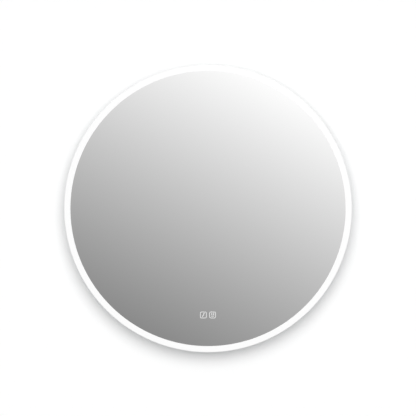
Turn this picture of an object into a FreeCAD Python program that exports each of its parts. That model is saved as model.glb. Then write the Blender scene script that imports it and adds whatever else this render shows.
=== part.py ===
import FreeCAD, Part
import math
import os
import re
import Sketcher

# Round lighted bathroom mirror, 600 mm across, hung on a two-part wall cleat. A frosted band at the rim of
# the glass is lit from behind by a ring of light-emitting chips in an aluminium channel. A touch switch
# behind the glass works the light and the defogging film.
#
# Millimetres. The front looks along -Y, +X is to the right as seen from the front, and +Z is up. The wall is
# the plane y = 0. The origin is the middle of the wall rail's screw line, on the wall. A "depth" below is a
# distance forward from the wall, so it is -y. Places marked "from the centre" are measured from the middle
# of the glass.

SIZES = {
    # glass and its silvering
    "mirror_dia": 600,
    "glass_thick": 5,
    "glass_arris": 0.8,
    "band_width": 13,
    "coating_thick": 0.2,
    "icon_width": 15,
    "icon_line": 1.2,
    "icon_pitch": 19.2,
    "icon_margin": 79,
    # rolled ring profile that carries the glass, the light and the back plate
    "glass_overhang": 2,
    "ring_depth": 28,
    "ring_wall": 1.4,
    "channel_depth": 12,
    "chip_hide": 4,
    "glue_flange": 9.6,
    "ledge_width": 1,
    "skirt_lip": 0.6,
    "seam_gap": 0.3,
    "joiner_length": 80,
    "joiner_fit": 0.2,
    "joiner_screw_near": 14,
    "joiner_screw_far": 31,
    "joiner_screw_rad": 2,
    "joiner_screw_length": 8,
    "tape_thick": 1,
    "tape_margin": 1,
    "diffuser_thick": 2,
    "diffuser_fit": 0.2,
    # strip of light-emitting chips
    "strip_width": 8,
    "strip_thick": 0.3,
    "strip_glue": 0.05,
    "strip_gap_angle": 10,
    "chip_count": 116,
    "chip_long": 3.5,
    "chip_wide": 2.8,
    "chip_high": 0.8,
    # back plate
    "plate_thick": 1.2,
    "plate_fit": 0.6,
    "bead_margin": 61,
    "bead_width": 10,
    "bead_height": 2,
    "plate_screw_count": 12,
    "plate_screw_angle": 15,
    "plate_screw_rad": 1.7,
    "plate_screw_length": 8,
    "short_screw_length": 6,
    "screw_slack": 0.15,
    "screw_head_rad": 3.5,
    "screw_head_high": 2.2,
    "vent_long": 26,
    "vent_rad": 1.6,
    "vent_pitch": 15,
    "vent_count": 9,
    "vent_up": 120,
    "vent_down": 165,
    # two-part wall cleat
    "hang_margin": 150,
    "cleat_thick": 3,
    "cleat_slack": 0.2,
    "cleat_lip": 11,
    "cleat_foot": 10,
    "cleat_rise": 14,
    "cleat_web": 3,
    "cleat_chamfer": 0.8,
    "rail_length": 260,
    "hanger_length": 220,
    "rail_slot_long": 12,
    "rail_slot_rad": 2.75,
    "rail_outer_pitch": 220,
    "rail_inner_pitch": 80,
    "rivet_outer_pitch": 180,
    "rivet_inner_pitch": 60,
    "rivet_rad": 2,
    "rivet_head_rad": 4,
    "rivet_head_high": 1.2,
    "rivet_bulb_rad": 3,
    "rivet_bulb_high": 4,
    "rivet_slack": 0.1,
    # rubber bumpers that keep the bottom off the wall
    "bumper_side": 120,
    "bumper_margin": 160,
    "bumper_rad": 8,
    "bumper_neck_rad": 2.4,
    "bumper_barb_rad": 4,
    "bumper_barb_high": 4.5,
    # wiring box, its cover and the cable inlet
    "box_gap": 47,
    "box_up": 50,
    "box_long": 96,
    "box_high": 66,
    "box_deep": 20,
    "box_wall": 2,
    "box_corner": 6,
    "boss_inset": 5,
    "boss_rad": 3.5,
    "boss_bore_rad": 1.6,
    "ear_reach": 14,
    "ear_high": 16,
    "opening_long": 76,
    "opening_high": 46,
    "cover_thick": 1.2,
    "grommet_side": 24,
    "grommet_bore_rad": 4,
    "grommet_neck_rad": 6.5,
    "grommet_rim_rad": 9,
    "grommet_rim": 2,
    # terminal block
    "block_side": 14,
    "block_long": 22,
    "block_deep": 14,
    "pole_pitch": 9,
    "pole_count": 3,
    "clamp_rad": 3,
    "clamp_bore_rad": 2,
    "clamp_screw_rad": 1.5,
    "clamp_screw_pitch": 10,
    "block_screw_rad": 1.2,
    # earth stud
    "stud_gap": 26,
    "stud_up": 8,
    "stud_rad": 2,
    "stud_long": 8.5,
    "tag_thick": 0.8,
    "washer_rad": 4.5,
    "washer_thick": 0.8,
    "nut_flats": 7,
    "nut_high": 3.2,
    # driver
    "driver_margin": 120,
    "driver_up": 50,
    "driver_long": 170,
    "driver_high": 44,
    "driver_deep": 22,
    "driver_wall": 2,
    "driver_corner": 3,
    "driver_ear": 12,
    "lid_thick": 2,
    "post_high": 3,
    "post_rad": 3,
    "board_thick": 1.6,
    "board_margin": 3,
    "can_rad": 5,
    "can_high": 12,
    "can_inset": 7,
    "mains_can_place": 61,
    "light_can_place": 35,
    "core_shift": 10,
    "core_wide": 26,
    "core_deep": 14,
    "core_high": 24,
    "core_window_high": 18,
    "core_limb": 7,
    "coil_wide": 20,
    "driver_plug_long": 14,
    "driver_plug_deep": 10,
    "driver_plug_place": 18,
    # defogging film
    "film_wide": 300,
    "film_high": 280,
    "film_up": 10,
    "film_thick": 0.4,
    "film_corner": 12,
    "track_thick": 0.1,
    "track_width": 6,
    "track_pitch": 24,
    "track_turns": 12,
    "track_high": 244,
    # touch switch
    "switch_wide": 56,
    "switch_high": 34,
    "switch_deep": 14,
    "switch_wall": 1.6,
    "switch_board_gap": 5.4,
    "guide_width": 15.6,
    "electrode_width": 18.4,
    "electrode_thick": 0.3,
    "plug_place": 16,
    "plug_size": 8,
    # leads
    "core_rad": 1.1,
    "lead_rad": 2,
    "thin_lead_rad": 1.5,
    "lead_slack": 0.4,
    "lead_hole_side": 15.7,
    "saddle_long": 8,
    "saddle_thick": 1.2,
    "saddle_foot": 4.6,
}

# Sizes that follow from the ones above. The first group are depths from the wall.
FORMULAS = {
    "plate_rear": "2 * cleat_thick + 3 * cleat_slack",
    "plate_front": "plate_rear + plate_thick",
    "ring_rear": "plate_rear - skirt_lip",
    "ring_front": "ring_rear + ring_depth",
    "coating_rear": "ring_front + tape_thick",
    "coating_front": "coating_rear + coating_thick",
    "glass_front": "coating_front + glass_thick",
    "channel_floor": "ring_front - channel_depth",
    "chamber_front": "channel_floor - ring_wall",
    "chamber_rear": "plate_front + ring_wall",
    "ledge_front": "ring_front - diffuser_thick",
    "strip_middle": "(channel_floor + ledge_front - ledge_width) / 2",
    "box_floor": "plate_front + box_deep",
    "cover_rear": "plate_rear - cover_thick",
    "pole_depth": "box_floor - block_deep / 2",
    "driver_front": "plate_front + driver_deep",
    "driver_board_rear": "plate_front + driver_wall + post_high",
    "driver_board_front": "driver_board_rear + board_thick",
    "driver_wire_depth": "driver_board_front + 5",
    "film_rear": "coating_rear - film_thick",
    "track_rear": "film_rear - track_thick",
    "switch_rear": "coating_rear - switch_deep",
    "switch_board_rear": "switch_rear + switch_wall + switch_board_gap",
    "switch_board_front": "switch_board_rear + board_thick",
    "switch_wire_depth": "switch_rear + switch_wall + switch_board_gap / 2",
    # radii about the mirror's axis
    "glass_radius": "mirror_dia / 2",
    "icon_drop": "glass_radius - icon_margin",
    "bead_radius": "glass_radius - bead_margin",
    # places on the back plate, taken from the rim inwards
    "hang_height": "glass_radius - hang_margin",
    "bumper_down": "glass_radius - bumper_margin",
    "driver_side": "glass_radius - driver_margin - driver_long / 2",
    "stud_side": "driver_long / 2 - driver_side + stud_gap",
    "box_side": "driver_long / 2 - driver_side + box_gap + box_long / 2",
    "mirror_radius": "glass_radius - band_width",
    "ring_radius": "glass_radius - glass_overhang",
    "skirt_inner": "ring_radius - ring_wall",
    "wall_outer": "mirror_radius - chip_hide",
    "wall_inner": "wall_outer - ring_wall",
    "flange_inner": "wall_inner - glue_flange",
    "chamber_middle": "(wall_outer + skirt_inner) / 2",
    "strip_inner": "wall_outer + strip_glue",
    "strip_outer": "strip_inner + strip_thick",
    "plate_radius": "skirt_inner - plate_fit",
    # cleat
    "cleat_pocket": "cleat_thick + 2 * cleat_slack",
    "cleat_top": "cleat_rise + cleat_lip",
    "hanger_line": "cleat_rise + cleat_top",
}

doc = FreeCAD.newDocument("LightedMirror")
sheet = doc.addObject("Spreadsheet::Sheet", "Sizes")
for row, (name, value) in enumerate(SIZES.items(), start=1):
    sheet.set(f"A{row}", name)
    sheet.set(f"B{row}", str(value))
    sheet.setAlias(f"B{row}", name)
doc.recompute()

PIECES = []


# ---------------------------------------------------------------- formulas


def expression(text):
    """A formula of size names as an expression on the sheet's cells."""

    def cell(match):
        name = match.group(0)
        if name in FORMULAS:
            return "(" + expression(FORMULAS[name]) + ")"
        return "Sizes." + name if name in SIZES else name

    return re.sub(r"[a-z_]+", cell, str(text))


def size(text):
    """The value of a formula of size names."""
    return float(sheet.evalExpression(expression(text)))


def bind(thing, prop, text):
    thing.setExpression(prop, expression(text))


def put(thing, x="0", depth="0", up="0"):
    """Places a piece at x, at a depth from the wall and at a height above the mirror's centre."""
    bind(thing, "Placement.Base.x", x)
    bind(thing, "Placement.Base.y", f"-({depth})")
    bind(thing, "Placement.Base.z", f"{up} - hang_height")


# ---------------------------------------------------------------- sketches


def new_body(label):
    body = doc.addObject("PartDesign::Body", label)
    body.Label = label
    PIECES.append(body)
    return body


def new_sketch(body, name, role, offset="0"):
    """A sketch on one of the body's origin planes, moved along that plane's normal."""
    sketch = body.newObject("Sketcher::SketchObject", name)
    plane = [p for p in body.Origin.OriginFeatures if p.Role == role][0]
    sketch.AttachmentSupport = [(plane, "")]
    sketch.MapMode = "FlatFace"
    bind(sketch, "AttachmentOffset.Base.z", offset)
    return sketch


def rule(sketch, constraint, text=None):
    """Adds one constraint, with its value bound to a formula where it has one."""
    index = sketch.addConstraint(constraint)
    if text is not None:
        bind(sketch, f"Constraints[{index}]", text)


def pin(sketch, shape, point, x, y):
    """Fixes a point of a sketch shape at x and y, each a formula or "0" for the axis."""
    for kind, axis, text in (("DistanceX", -2, x), ("DistanceY", -1, y)):
        if text == "0":
            rule(sketch, Sketcher.Constraint("PointOnObject", shape, point, axis))
        else:
            rule(sketch, Sketcher.Constraint(kind, shape, point, size(text)), text)


def polygon(sketch, corners):
    """A closed outline of straight lines. Each corner is a pair of formulas."""
    first = sketch.GeometryCount
    points = [FreeCAD.Vector(size(x), size(y), 0) for x, y in corners]
    count = len(points)
    for i in range(count):
        sketch.addGeometry(Part.LineSegment(points[i], points[(i + 1) % count]))
    for i in range(count):
        rule(sketch, Sketcher.Constraint("Coincident", first + i, 2, first + (i + 1) % count, 1))
    for i, (x, y) in enumerate(corners):
        pin(sketch, first + i, 1, x, y)


def circle(sketch, x, y, radius):
    centre = FreeCAD.Vector(size(x), size(y), 0)
    shape = sketch.addGeometry(Part.Circle(centre, FreeCAD.Vector(0, 0, 1), size(radius)))
    pin(sketch, shape, 3, x, y)
    rule(sketch, Sketcher.Constraint("Radius", shape, size(radius)), radius)


def rounded(sketch, x, y, width, height, radius):
    """A rectangle about x, y with round corners."""
    half_x, half_y = f"(({width}) / 2 - ({radius}))", f"(({height}) / 2 - ({radius}))"
    signs = [(1, 1), (-1, 1), (-1, -1), (1, -1)]
    r, normal = size(radius), FreeCAD.Vector(0, 0, 1)
    first, arcs = sketch.GeometryCount, []
    for quarter, (sx, sy) in enumerate(signs):
        centre = FreeCAD.Vector(size(x) + sx * size(half_x), size(y) + sy * size(half_y), 0)
        turn = quarter * math.pi / 2
        arcs.append(Part.ArcOfCircle(Part.Circle(centre, normal, r), turn, turn + math.pi / 2))
        sketch.addGeometry(arcs[-1])
    for i in range(4):
        follower = (i + 1) % 4
        line = sketch.addGeometry(Part.LineSegment(arcs[i].EndPoint, arcs[follower].StartPoint))
        rule(sketch, Sketcher.Constraint("Tangent", first + i, 2, line, 1))
        rule(sketch, Sketcher.Constraint("Tangent", line, 2, first + follower, 1))
        rule(sketch, Sketcher.Constraint("Vertical" if i % 2 else "Horizontal", line))
    rule(sketch, Sketcher.Constraint("Radius", first, r), radius)
    for i in (1, 2, 3):
        rule(sketch, Sketcher.Constraint("Equal", first, first + i))
    pin(sketch, first, 3, f"{x} + {half_x}", f"{y} + {half_y}")
    pin(sketch, first + 2, 3, f"{x} - {half_x}", f"{y} - {half_y}")


def slot(sketch, x, y, length, radius, upright=False):
    """A slot about x, y with round ends, lying along x or standing along y."""
    half = f"(({length}) / 2 - ({radius}))"
    r, normal = size(radius), FreeCAD.Vector(0, 0, 1)
    first, arcs = sketch.GeometryCount, []
    for sign in (1, -1):
        dx, dy = (0, sign * size(half)) if upright else (sign * size(half), 0)
        start = (0 if upright else -math.pi / 2) + (0 if sign > 0 else math.pi)
        centre = FreeCAD.Vector(size(x) + dx, size(y) + dy, 0)
        arcs.append(Part.ArcOfCircle(Part.Circle(centre, normal, r), start, start + math.pi))
        sketch.addGeometry(arcs[-1])
    for i in (0, 1):
        line = sketch.addGeometry(Part.LineSegment(arcs[i].EndPoint, arcs[1 - i].StartPoint))
        rule(sketch, Sketcher.Constraint("Tangent", first + i, 2, line, 1))
        rule(sketch, Sketcher.Constraint("Tangent", line, 2, first + 1 - i, 1))
    rule(sketch, Sketcher.Constraint("Radius", first, r), radius)
    rule(sketch, Sketcher.Constraint("Equal", first, first + 1))
    for i, sign in ((0, "+"), (1, "-")):
        end_x, end_y = (x, f"{y} {sign} {half}") if upright else (f"{x} {sign} {half}", y)
        pin(sketch, first + i, 3, end_x, end_y)


# ---------------------------------------------------------------- features


def turned(label, corners, angle="360", below=False, loops=()):
    """A body turned about the mirror's axis from corners of (depth, radius).

    A part turn is centred straight above the axis, or straight below it. Loops are more closed outlines,
    which become hollows.
    """
    body = new_body(label)
    sketch = new_sketch(body, "section", "YZ_Plane")
    for outline in (corners, *loops):
        points = []
        for depth, radius in outline:
            up = f"-({radius})" if below else radius
            points.append((f"-({depth})", up))
        polygon(sketch, points)
    turn = body.newObject("PartDesign::Revolution", "turn")
    turn.Profile = sketch
    turn.ReferenceAxis = (sketch, ["H_Axis"])
    bind(turn, "Angle", angle)
    turn.Midplane = angle != "360"
    put(body)
    doc.recompute()
    return body


def pad(body, sketch, length, name="pad"):
    """Raises a sketch forward along its normal."""
    feature = body.newObject("PartDesign::Pad", name)
    feature.Profile = sketch
    bind(feature, "Length", length)
    doc.recompute()
    return feature


def cut(body, sketch, length=None, back=False, name="cut"):
    """Cuts a sketch out of a body: right through it, or a length forward, or a length back."""
    before = body.Shape.Volume
    feature = body.newObject("PartDesign::Pocket", name)
    feature.Profile = sketch
    if length is None:
        feature.Type = "ThroughAll"
        feature.Midplane = True
    else:
        bind(feature, "Length", length)
        feature.Reversed = not back
    doc.recompute()
    if body.Shape.Volume > before - 1e-3:
        raise RuntimeError(f"{body.Label}: {name} cuts nothing")
    return feature


def slab(label, middle, outline, depths):
    """A flat piece with round corners, parallel to the wall.

    The outline is its width, height and corner radius, and depths are its rear depth and its thickness.
    """
    body = new_body(label)
    sketch = new_sketch(body, "outline", "XZ_Plane")
    rounded(sketch, "0", "0", *outline)
    pad(body, sketch, depths[1])
    put(body, middle[0], depths[0], middle[1])
    return body


def feature_piece(label, shape):
    """A piece whose shape is worked out by a loop or a boolean, in the mirror's own frame."""
    piece = doc.addObject("Part::Feature", label)
    piece.Label = label
    piece.Shape = shape
    piece.Placement = FreeCAD.Placement(FreeCAD.Vector(0, 0, -size("hang_height")), FreeCAD.Rotation())
    PIECES.append(piece)
    return piece


def at(x, depth, up):
    return FreeCAD.Vector(size(x), -size(depth), size(up))


def rod(x, depth, up, radius, length, direction="y"):
    """A round bar from a point, forward from the wall, or along x or z."""
    ways = {"y": (0, -1, 0), "x": (1, 0, 0), "z": (0, 0, 1)}
    return Part.makeCylinder(size(radius), size(length), at(x, depth, up), FreeCAD.Vector(*ways[direction]))


def brick(x, depth, up, width, thick, height):
    """A box centred on x and up, from a depth forward."""
    corner = at(f"{x} - ({width}) / 2", f"{depth} + {thick}", f"{up} - ({height}) / 2")
    return Part.makeBox(size(width), size(thick), size(height), corner)


def solid_of_turn(corners):
    """A solid turned about the line x = 0, z = 0 from corners of (depth, radius) in numbers."""
    points = [FreeCAD.Vector(0, -depth, radius) for depth, radius in corners]
    face = Part.Face(Part.makePolygon(points + points[:1]))
    return face.revolve(FreeCAD.Vector(0, 0, 0), FreeCAD.Vector(0, 1, 0), 360)


def pan_screw(radius, length, head=("screw_head_rad", "screw_head_high")):
    """A pan-head screw. Its shank runs forward from depth 0 and its head backward."""
    wide, high = size(head[0]), size(head[1])
    return solid_of_turn(
        [
            (-high, 0),
            (-high, wide * 0.7),
            (-high * 0.4, wide),
            (0, wide),
            (0, size(radius)),
            (size(length), size(radius)),
            (size(length), 0),
        ]
    )


def copies(shape, places):
    """Separate copies of one shape, each moved from the origin by a vector or a placement."""
    moved = []
    for place in places:
        if not isinstance(place, FreeCAD.Placement):
            place = FreeCAD.Placement(place, FreeCAD.Rotation())
        one = shape.copy()
        one.Placement = place
        moved.append(one)
    return Part.makeCompound(moved)


def tube(points, radius):
    """A round lead along straight runs joined by arcs as large as the runs allow."""
    edges, start, tightest = [], points[0], math.inf
    for before, corner, after in zip(points, points[1:], points[2:]):
        back, on = (before - corner), (after - corner)
        reach = 0.45 * min(back.Length, on.Length)
        turn = math.pi - back.getAngle(on)
        arc_radius = reach / math.tan(turn / 2)
        tightest = min(tightest, arc_radius)
        enter = corner + back.normalize() * reach
        leave = corner + on.normalize() * reach
        middle = corner + (back + on).normalize() * (arc_radius / math.cos(turn / 2) - arc_radius)
        edges.append(Part.LineSegment(start, enter).toShape())
        edges.append(Part.Arc(enter, middle, leave).toShape())
        start = leave
    edges.append(Part.LineSegment(start, points[-1]).toShape())
    path = Part.Wire(edges)
    circle_edge = Part.makeCircle(radius, points[0], points[1] - points[0])
    solid = path.makePipeShell([Part.Wire([circle_edge])], True, False)
    expected = math.pi * radius**2 * path.Length
    if abs(solid.Volume - expected) > 0.01 * expected:
        raise RuntimeError("a lead's volume isn't its section times its length")
    return solid, path.Length, tightest


def lead(label, radius, route):
    """A lead along a route of (x, depth, height from the centre)."""
    points = [at(*point) for point in route]
    solid, length, tightest = tube(points, size(radius))
    print(f"{label}: {length:.0f} mm long, tightest bend {tightest:.1f} mm")
    return feature_piece(label, solid)


# ---------------------------------------------------------------- glass


def make_glass():
    """Float glass disc with a ground arris, and the silvering on its rear face.

    The silvering is taken off at the rim, which leaves the frosted band, and at two square windows in
    front of the touch switch.
    """
    turned(
        "mirror_glass",
        [
            ("coating_front", "0"),
            ("coating_front", "glass_radius - glass_arris"),
            ("coating_front + glass_arris", "glass_radius"),
            ("glass_front - glass_arris", "glass_radius"),
            ("glass_front", "glass_radius - glass_arris"),
            ("glass_front", "0"),
        ],
    )
    silvering = turned(
        "silvering",
        [
            ("coating_rear", "0"),
            ("coating_rear", "mirror_radius"),
            ("coating_front", "mirror_radius"),
            ("coating_front", "0"),
        ],
    )
    for name, side in (("left_window", "-"), ("right_window", "")):
        window = new_sketch(silvering, name, "XZ_Plane")
        x, up = f"{side}icon_pitch / 2", "-icon_drop"
        rounded(window, x, up, "icon_width", "icon_width", "2 * icon_line")
        inner = "icon_width - 2 * icon_line"
        rounded(window, x, up, inner, inner, "icon_line")
        cut(silvering, window, name=name + "_cut")


# ---------------------------------------------------------------- ring


def make_ring():
    """Aluminium extrusion rolled into a ring, with its ends butted at the bottom.

    Its section has an outer wall, a light channel open to the front with ledges for the diffuser, a flange
    that the glass is bonded to, and a closed chamber behind the channel, whose rear wall takes the screws
    of the back plate.
    """
    ring = turned(
        "ring_profile",
        [
            ("ring_front", "flange_inner"),
            ("ring_front - ring_wall", "flange_inner"),
            ("ring_front - ring_wall", "wall_inner"),
            ("plate_front", "wall_inner"),
            ("plate_front", "skirt_inner"),
            ("ring_rear", "skirt_inner"),
            ("ring_rear", "ring_radius"),
            ("ring_front", "ring_radius"),
            ("ring_front", "skirt_inner"),
            ("ledge_front", "skirt_inner"),
            ("ledge_front", "skirt_inner - ledge_width"),
            ("ledge_front - ledge_width", "skirt_inner - ledge_width"),
            ("ledge_front - ledge_width", "skirt_inner"),
            ("channel_floor", "skirt_inner"),
            ("channel_floor", "wall_outer"),
            ("ledge_front - ledge_width", "wall_outer"),
            ("ledge_front - ledge_width", "wall_outer + ledge_width"),
            ("ledge_front", "wall_outer + ledge_width"),
            ("ledge_front", "wall_outer"),
            ("ring_front", "wall_outer"),
        ],
        angle="360 - seam_gap / ring_radius * 180 / pi",
        loops=[
            [
                ("chamber_front", "wall_outer"),
                ("chamber_front", "skirt_inner"),
                ("chamber_rear", "skirt_inner"),
                ("chamber_rear", "wall_outer"),
            ]
        ],
    )
    pilot = new_sketch(ring, "pilot_hole", "XZ_Plane", "plate_front - 0.5")
    turn = "plate_screw_angle * 1deg"
    circle(
        pilot,
        f"chamber_middle * sin({turn})",
        f"chamber_middle * cos({turn})",
        "plate_screw_rad + screw_slack",
    )
    pilot_cut = cut(ring, pilot, "ring_wall + 1", name="pilot_cut")
    repeat_round(ring, pilot_cut, pilot)
    side_holes = new_sketch(ring, "inner_wall_holes", "XY_Plane", "-(wall_inner - 2.5)")
    circle(side_holes, "lead_hole_side", "-strip_middle", "thin_lead_rad + lead_slack + lead_slack")
    middle = "-(chamber_front + chamber_rear) / 2"
    for side in ("", "-"):
        for place in ("joiner_screw_near", "joiner_screw_far"):
            circle(side_holes, side + place, middle, "joiner_screw_rad + screw_slack")
    cut(ring, side_holes, "ring_wall + 3.5", back=True, name="inner_wall_cut")


def repeat_round(body, feature, sketch):
    """Repeats a cut round the mirror's axis, once for each screw of the back plate."""
    pattern = body.newObject("PartDesign::PolarPattern", "round_pattern")
    pattern.Originals = [feature]
    pattern.Axis = (sketch, ["N_Axis"])
    pattern.Angle = 360
    bind(pattern, "Occurrences", "plate_screw_count")
    body.Tip = pattern
    doc.recompute()


def repeat_along(body, feature, sketch, pitch, count):
    """Repeats a feature in a row along x."""
    row = body.newObject("PartDesign::LinearPattern", "row")
    row.Originals = [feature]
    row.Direction = (sketch, ["H_Axis"])
    row.Mode = "Spacing"
    bind(row, "Offset", pitch)
    bind(row, "Occurrences", count)
    body.Tip = row
    doc.recompute()


def make_joiner():
    """Curved bar inside the chamber that joins the ring's two ends, with four screws from inside."""
    joiner = turned(
        "ring_joiner",
        [
            ("chamber_rear + joiner_fit", "wall_outer + joiner_fit"),
            ("chamber_front - joiner_fit", "wall_outer + joiner_fit"),
            ("chamber_front - joiner_fit", "skirt_inner - joiner_fit"),
            ("chamber_rear + joiner_fit", "skirt_inner - joiner_fit"),
        ],
        angle="joiner_length / chamber_middle * 180 / pi",
        below=True,
    )
    tapped = new_sketch(joiner, "tapped_holes", "XY_Plane", "-(wall_inner - 2.5)")
    middle = "-(chamber_front + chamber_rear) / 2"
    for side in ("", "-"):
        for place in ("joiner_screw_near", "joiner_screw_far"):
            circle(tapped, side + place, middle, "joiner_screw_rad + screw_slack / 3")
    cut(joiner, tapped, "2.5 + ring_wall + 9", back=True, name="tapped_cut")
    screw = pan_screw("joiner_screw_rad", "joiner_screw_length")
    downward = FreeCAD.Rotation(FreeCAD.Vector(0, -1, 0), FreeCAD.Vector(0, 0, -1))
    places = []
    for side in (-1, 1):
        for place in ("joiner_screw_near", "joiner_screw_far"):
            x = side * size(place)
            reach = size("screw_head_rad")
            seat = math.sqrt(size("wall_inner") ** 2 - (abs(x) + reach) ** 2)
            spot = FreeCAD.Vector(x, -(size("chamber_front") + size("chamber_rear")) / 2, -seat)
            places.append(FreeCAD.Placement(spot, downward))
    feature_piece("joiner_screws", copies(screw, places))


def make_light():
    """Opal diffuser, seals, and the strip of chips on the channel's inner wall, hidden by the silvering."""
    turned(
        "diffuser_ring",
        [
            ("ledge_front", "wall_outer + diffuser_fit"),
            ("ring_front", "wall_outer + diffuser_fit"),
            ("ring_front", "skirt_inner - diffuser_fit"),
            ("ledge_front", "skirt_inner - diffuser_fit"),
        ],
    )
    turned(
        "bonding_tape",
        [
            ("ring_front", "flange_inner + tape_margin"),
            ("coating_rear", "flange_inner + tape_margin"),
            ("coating_rear", "wall_inner - tape_margin"),
            ("ring_front", "wall_inner - tape_margin"),
        ],
    )
    turned(
        "edge_seal",
        [
            ("ring_front", "skirt_inner"),
            ("coating_front", "skirt_inner"),
            ("coating_front", "ring_radius"),
            ("coating_front - coating_thick - tape_thick / 2", "ring_radius + 0.4"),
            ("ring_front", "ring_radius"),
        ],
    )
    turned(
        "chip_strip",
        [
            ("strip_middle - strip_width / 2", "strip_inner"),
            ("strip_middle + strip_width / 2", "strip_inner"),
            ("strip_middle + strip_width / 2", "strip_outer"),
            ("strip_middle - strip_width / 2", "strip_outer"),
        ],
        angle="360 - strip_gap_angle",
    )
    count = int(size("chip_count"))
    half = 180 - size("strip_gap_angle") / 2 - 1
    chip = brick("0", "strip_middle - chip_wide / 2", "0", "chip_long", "chip_wide", "chip_high")
    seat = FreeCAD.Vector(0, 0, size("strip_outer + chip_high / 2") + 0.02)
    places = []
    for i in range(count):
        turn = FreeCAD.Rotation(FreeCAD.Vector(0, 1, 0), -half + 2 * half * i / (count - 1))
        places.append(FreeCAD.Placement(turn.multVec(seat), turn))
    feature_piece("light_chips", copies(chip, places))


# ---------------------------------------------------------------- back plate and cleat


def make_back_plate():
    """Galvanised sheet with a pressed stiffening bead, vents, and the holes for all that it carries."""
    half_bead = "bead_width / 2 + bead_height"
    flank = "plate_thick * 0.414"
    plate = turned(
        "back_plate",
        [
            ("plate_rear", "0"),
            ("plate_rear", f"bead_radius - {half_bead} + {flank}"),
            ("plate_rear + bead_height", f"bead_radius - bead_width / 2 + {flank}"),
            ("plate_rear + bead_height", f"bead_radius + bead_width / 2 - {flank}"),
            ("plate_rear", f"bead_radius + {half_bead} - {flank}"),
            ("plate_rear", "plate_radius"),
            ("plate_front", "plate_radius"),
            ("plate_front", f"bead_radius + {half_bead}"),
            ("plate_front + bead_height", "bead_radius + bead_width / 2"),
            ("plate_front + bead_height", "bead_radius - bead_width / 2"),
            ("plate_front", f"bead_radius - ({half_bead})"),
            ("plate_front", "0"),
        ],
    )
    rim = new_sketch(plate, "rim_hole", "XZ_Plane")
    turn = "plate_screw_angle * 1deg"
    circle(
        rim,
        f"chamber_middle * sin({turn})",
        f"chamber_middle * cos({turn})",
        "plate_screw_rad + 2 * screw_slack",
    )
    rim_cut = cut(plate, rim, name="rim_cut")
    repeat_round(plate, rim_cut, rim)
    holes = new_sketch(plate, "holes", "XZ_Plane")
    for x, up in rivet_places():
        circle(holes, x, up, "rivet_rad + rivet_slack")
    for side in ("", "-"):
        circle(holes, side + "bumper_side", "-bumper_down", "bumper_neck_rad + rivet_slack")
    for x, up in cover_screw_places() + ear_screw_places() + driver_screw_places():
        circle(holes, x, up, "plate_screw_rad + 2 * screw_slack")
    rounded(holes, "box_side", "box_up", "opening_long", "opening_high", "box_corner / 2")
    cut(plate, holes, name="holes_cut")
    vents = new_sketch(plate, "vents", "XZ_Plane")
    for up in ("vent_up", "-vent_down"):
        slot(vents, "-(vent_count - 1) / 2 * vent_pitch", up, "vent_long", "vent_rad", upright=True)
    repeat_along(plate, cut(plate, vents, name="vents_cut"), vents, "vent_pitch", "vent_count")
    screw = pan_screw("plate_screw_rad", "plate_screw_length")
    places = []
    count = int(size("plate_screw_count"))
    for i in range(count):
        turn = math.radians(size("plate_screw_angle") + 360 * i / count)
        radius = size("chamber_middle")
        places.append(
            FreeCAD.Vector(radius * math.sin(turn), -size("plate_rear"), radius * math.cos(turn))
        )
    feature_piece("back_plate_screws", copies(screw, places))


def rivet_places():
    """Where rivets hold the hanger to the back plate: x and height from the centre."""
    pitches = ("rivet_outer_pitch", "rivet_inner_pitch")
    return [(f"{side}{p} / 2", "hang_height + hanger_line") for p in pitches for side in ("-", "")]


def make_cleat():
    """Wall rail and hanger: one extrusion in two lengths, hooked into each other.

    The hanger is the same section turned upside down. Its lip drops into the rail's pocket, between the
    rail's lip and the wall.
    """
    rail_slots = [f"{side}{p} / 2" for p in ("rail_outer_pitch", "rail_inner_pitch") for side in ("-", "")]
    rail = cleat_bar("wall_rail", "rail_length")
    slots = new_sketch(rail, "screw_slots", "XZ_Plane")
    for x in rail_slots:
        slot(slots, x, "0", "rail_slot_long", "rail_slot_rad")
    cut(rail, slots, name="slots_cut")
    hanger = cleat_bar("hanger_rail", "hanger_length")
    holes = new_sketch(hanger, "rivet_holes", "XZ_Plane")
    for x, _ in rivet_places():
        circle(holes, x, "0", "rivet_rad + rivet_slack")
    cut(hanger, holes, name="rivet_cut")
    hanger.Placement.Rotation = FreeCAD.Rotation(FreeCAD.Vector(1, 0, 0), 180)
    bind(hanger, "Placement.Base.y", "-plate_rear")
    bind(hanger, "Placement.Base.z", "hanger_line")
    head, bulb = size("rivet_head_high"), size("rivet_bulb_high")
    seat, front = size("plate_rear - cleat_thick"), size("plate_front")
    radius, head_radius, bulb_radius = size("rivet_rad"), size("rivet_head_rad"), size("rivet_bulb_rad")
    rivet = solid_of_turn(
        [
            (seat - head, 0),
            (seat - head, head_radius * 0.6),
            (seat, head_radius),
            (seat, radius),
            (front, radius),
            (front, bulb_radius),
            (front + bulb, bulb_radius * 0.7),
            (front + bulb, 0),
        ]
    )
    feature_piece("hanger_rivets", copies(rivet, [at(x, "0", up) for x, up in rivet_places()]))


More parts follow.
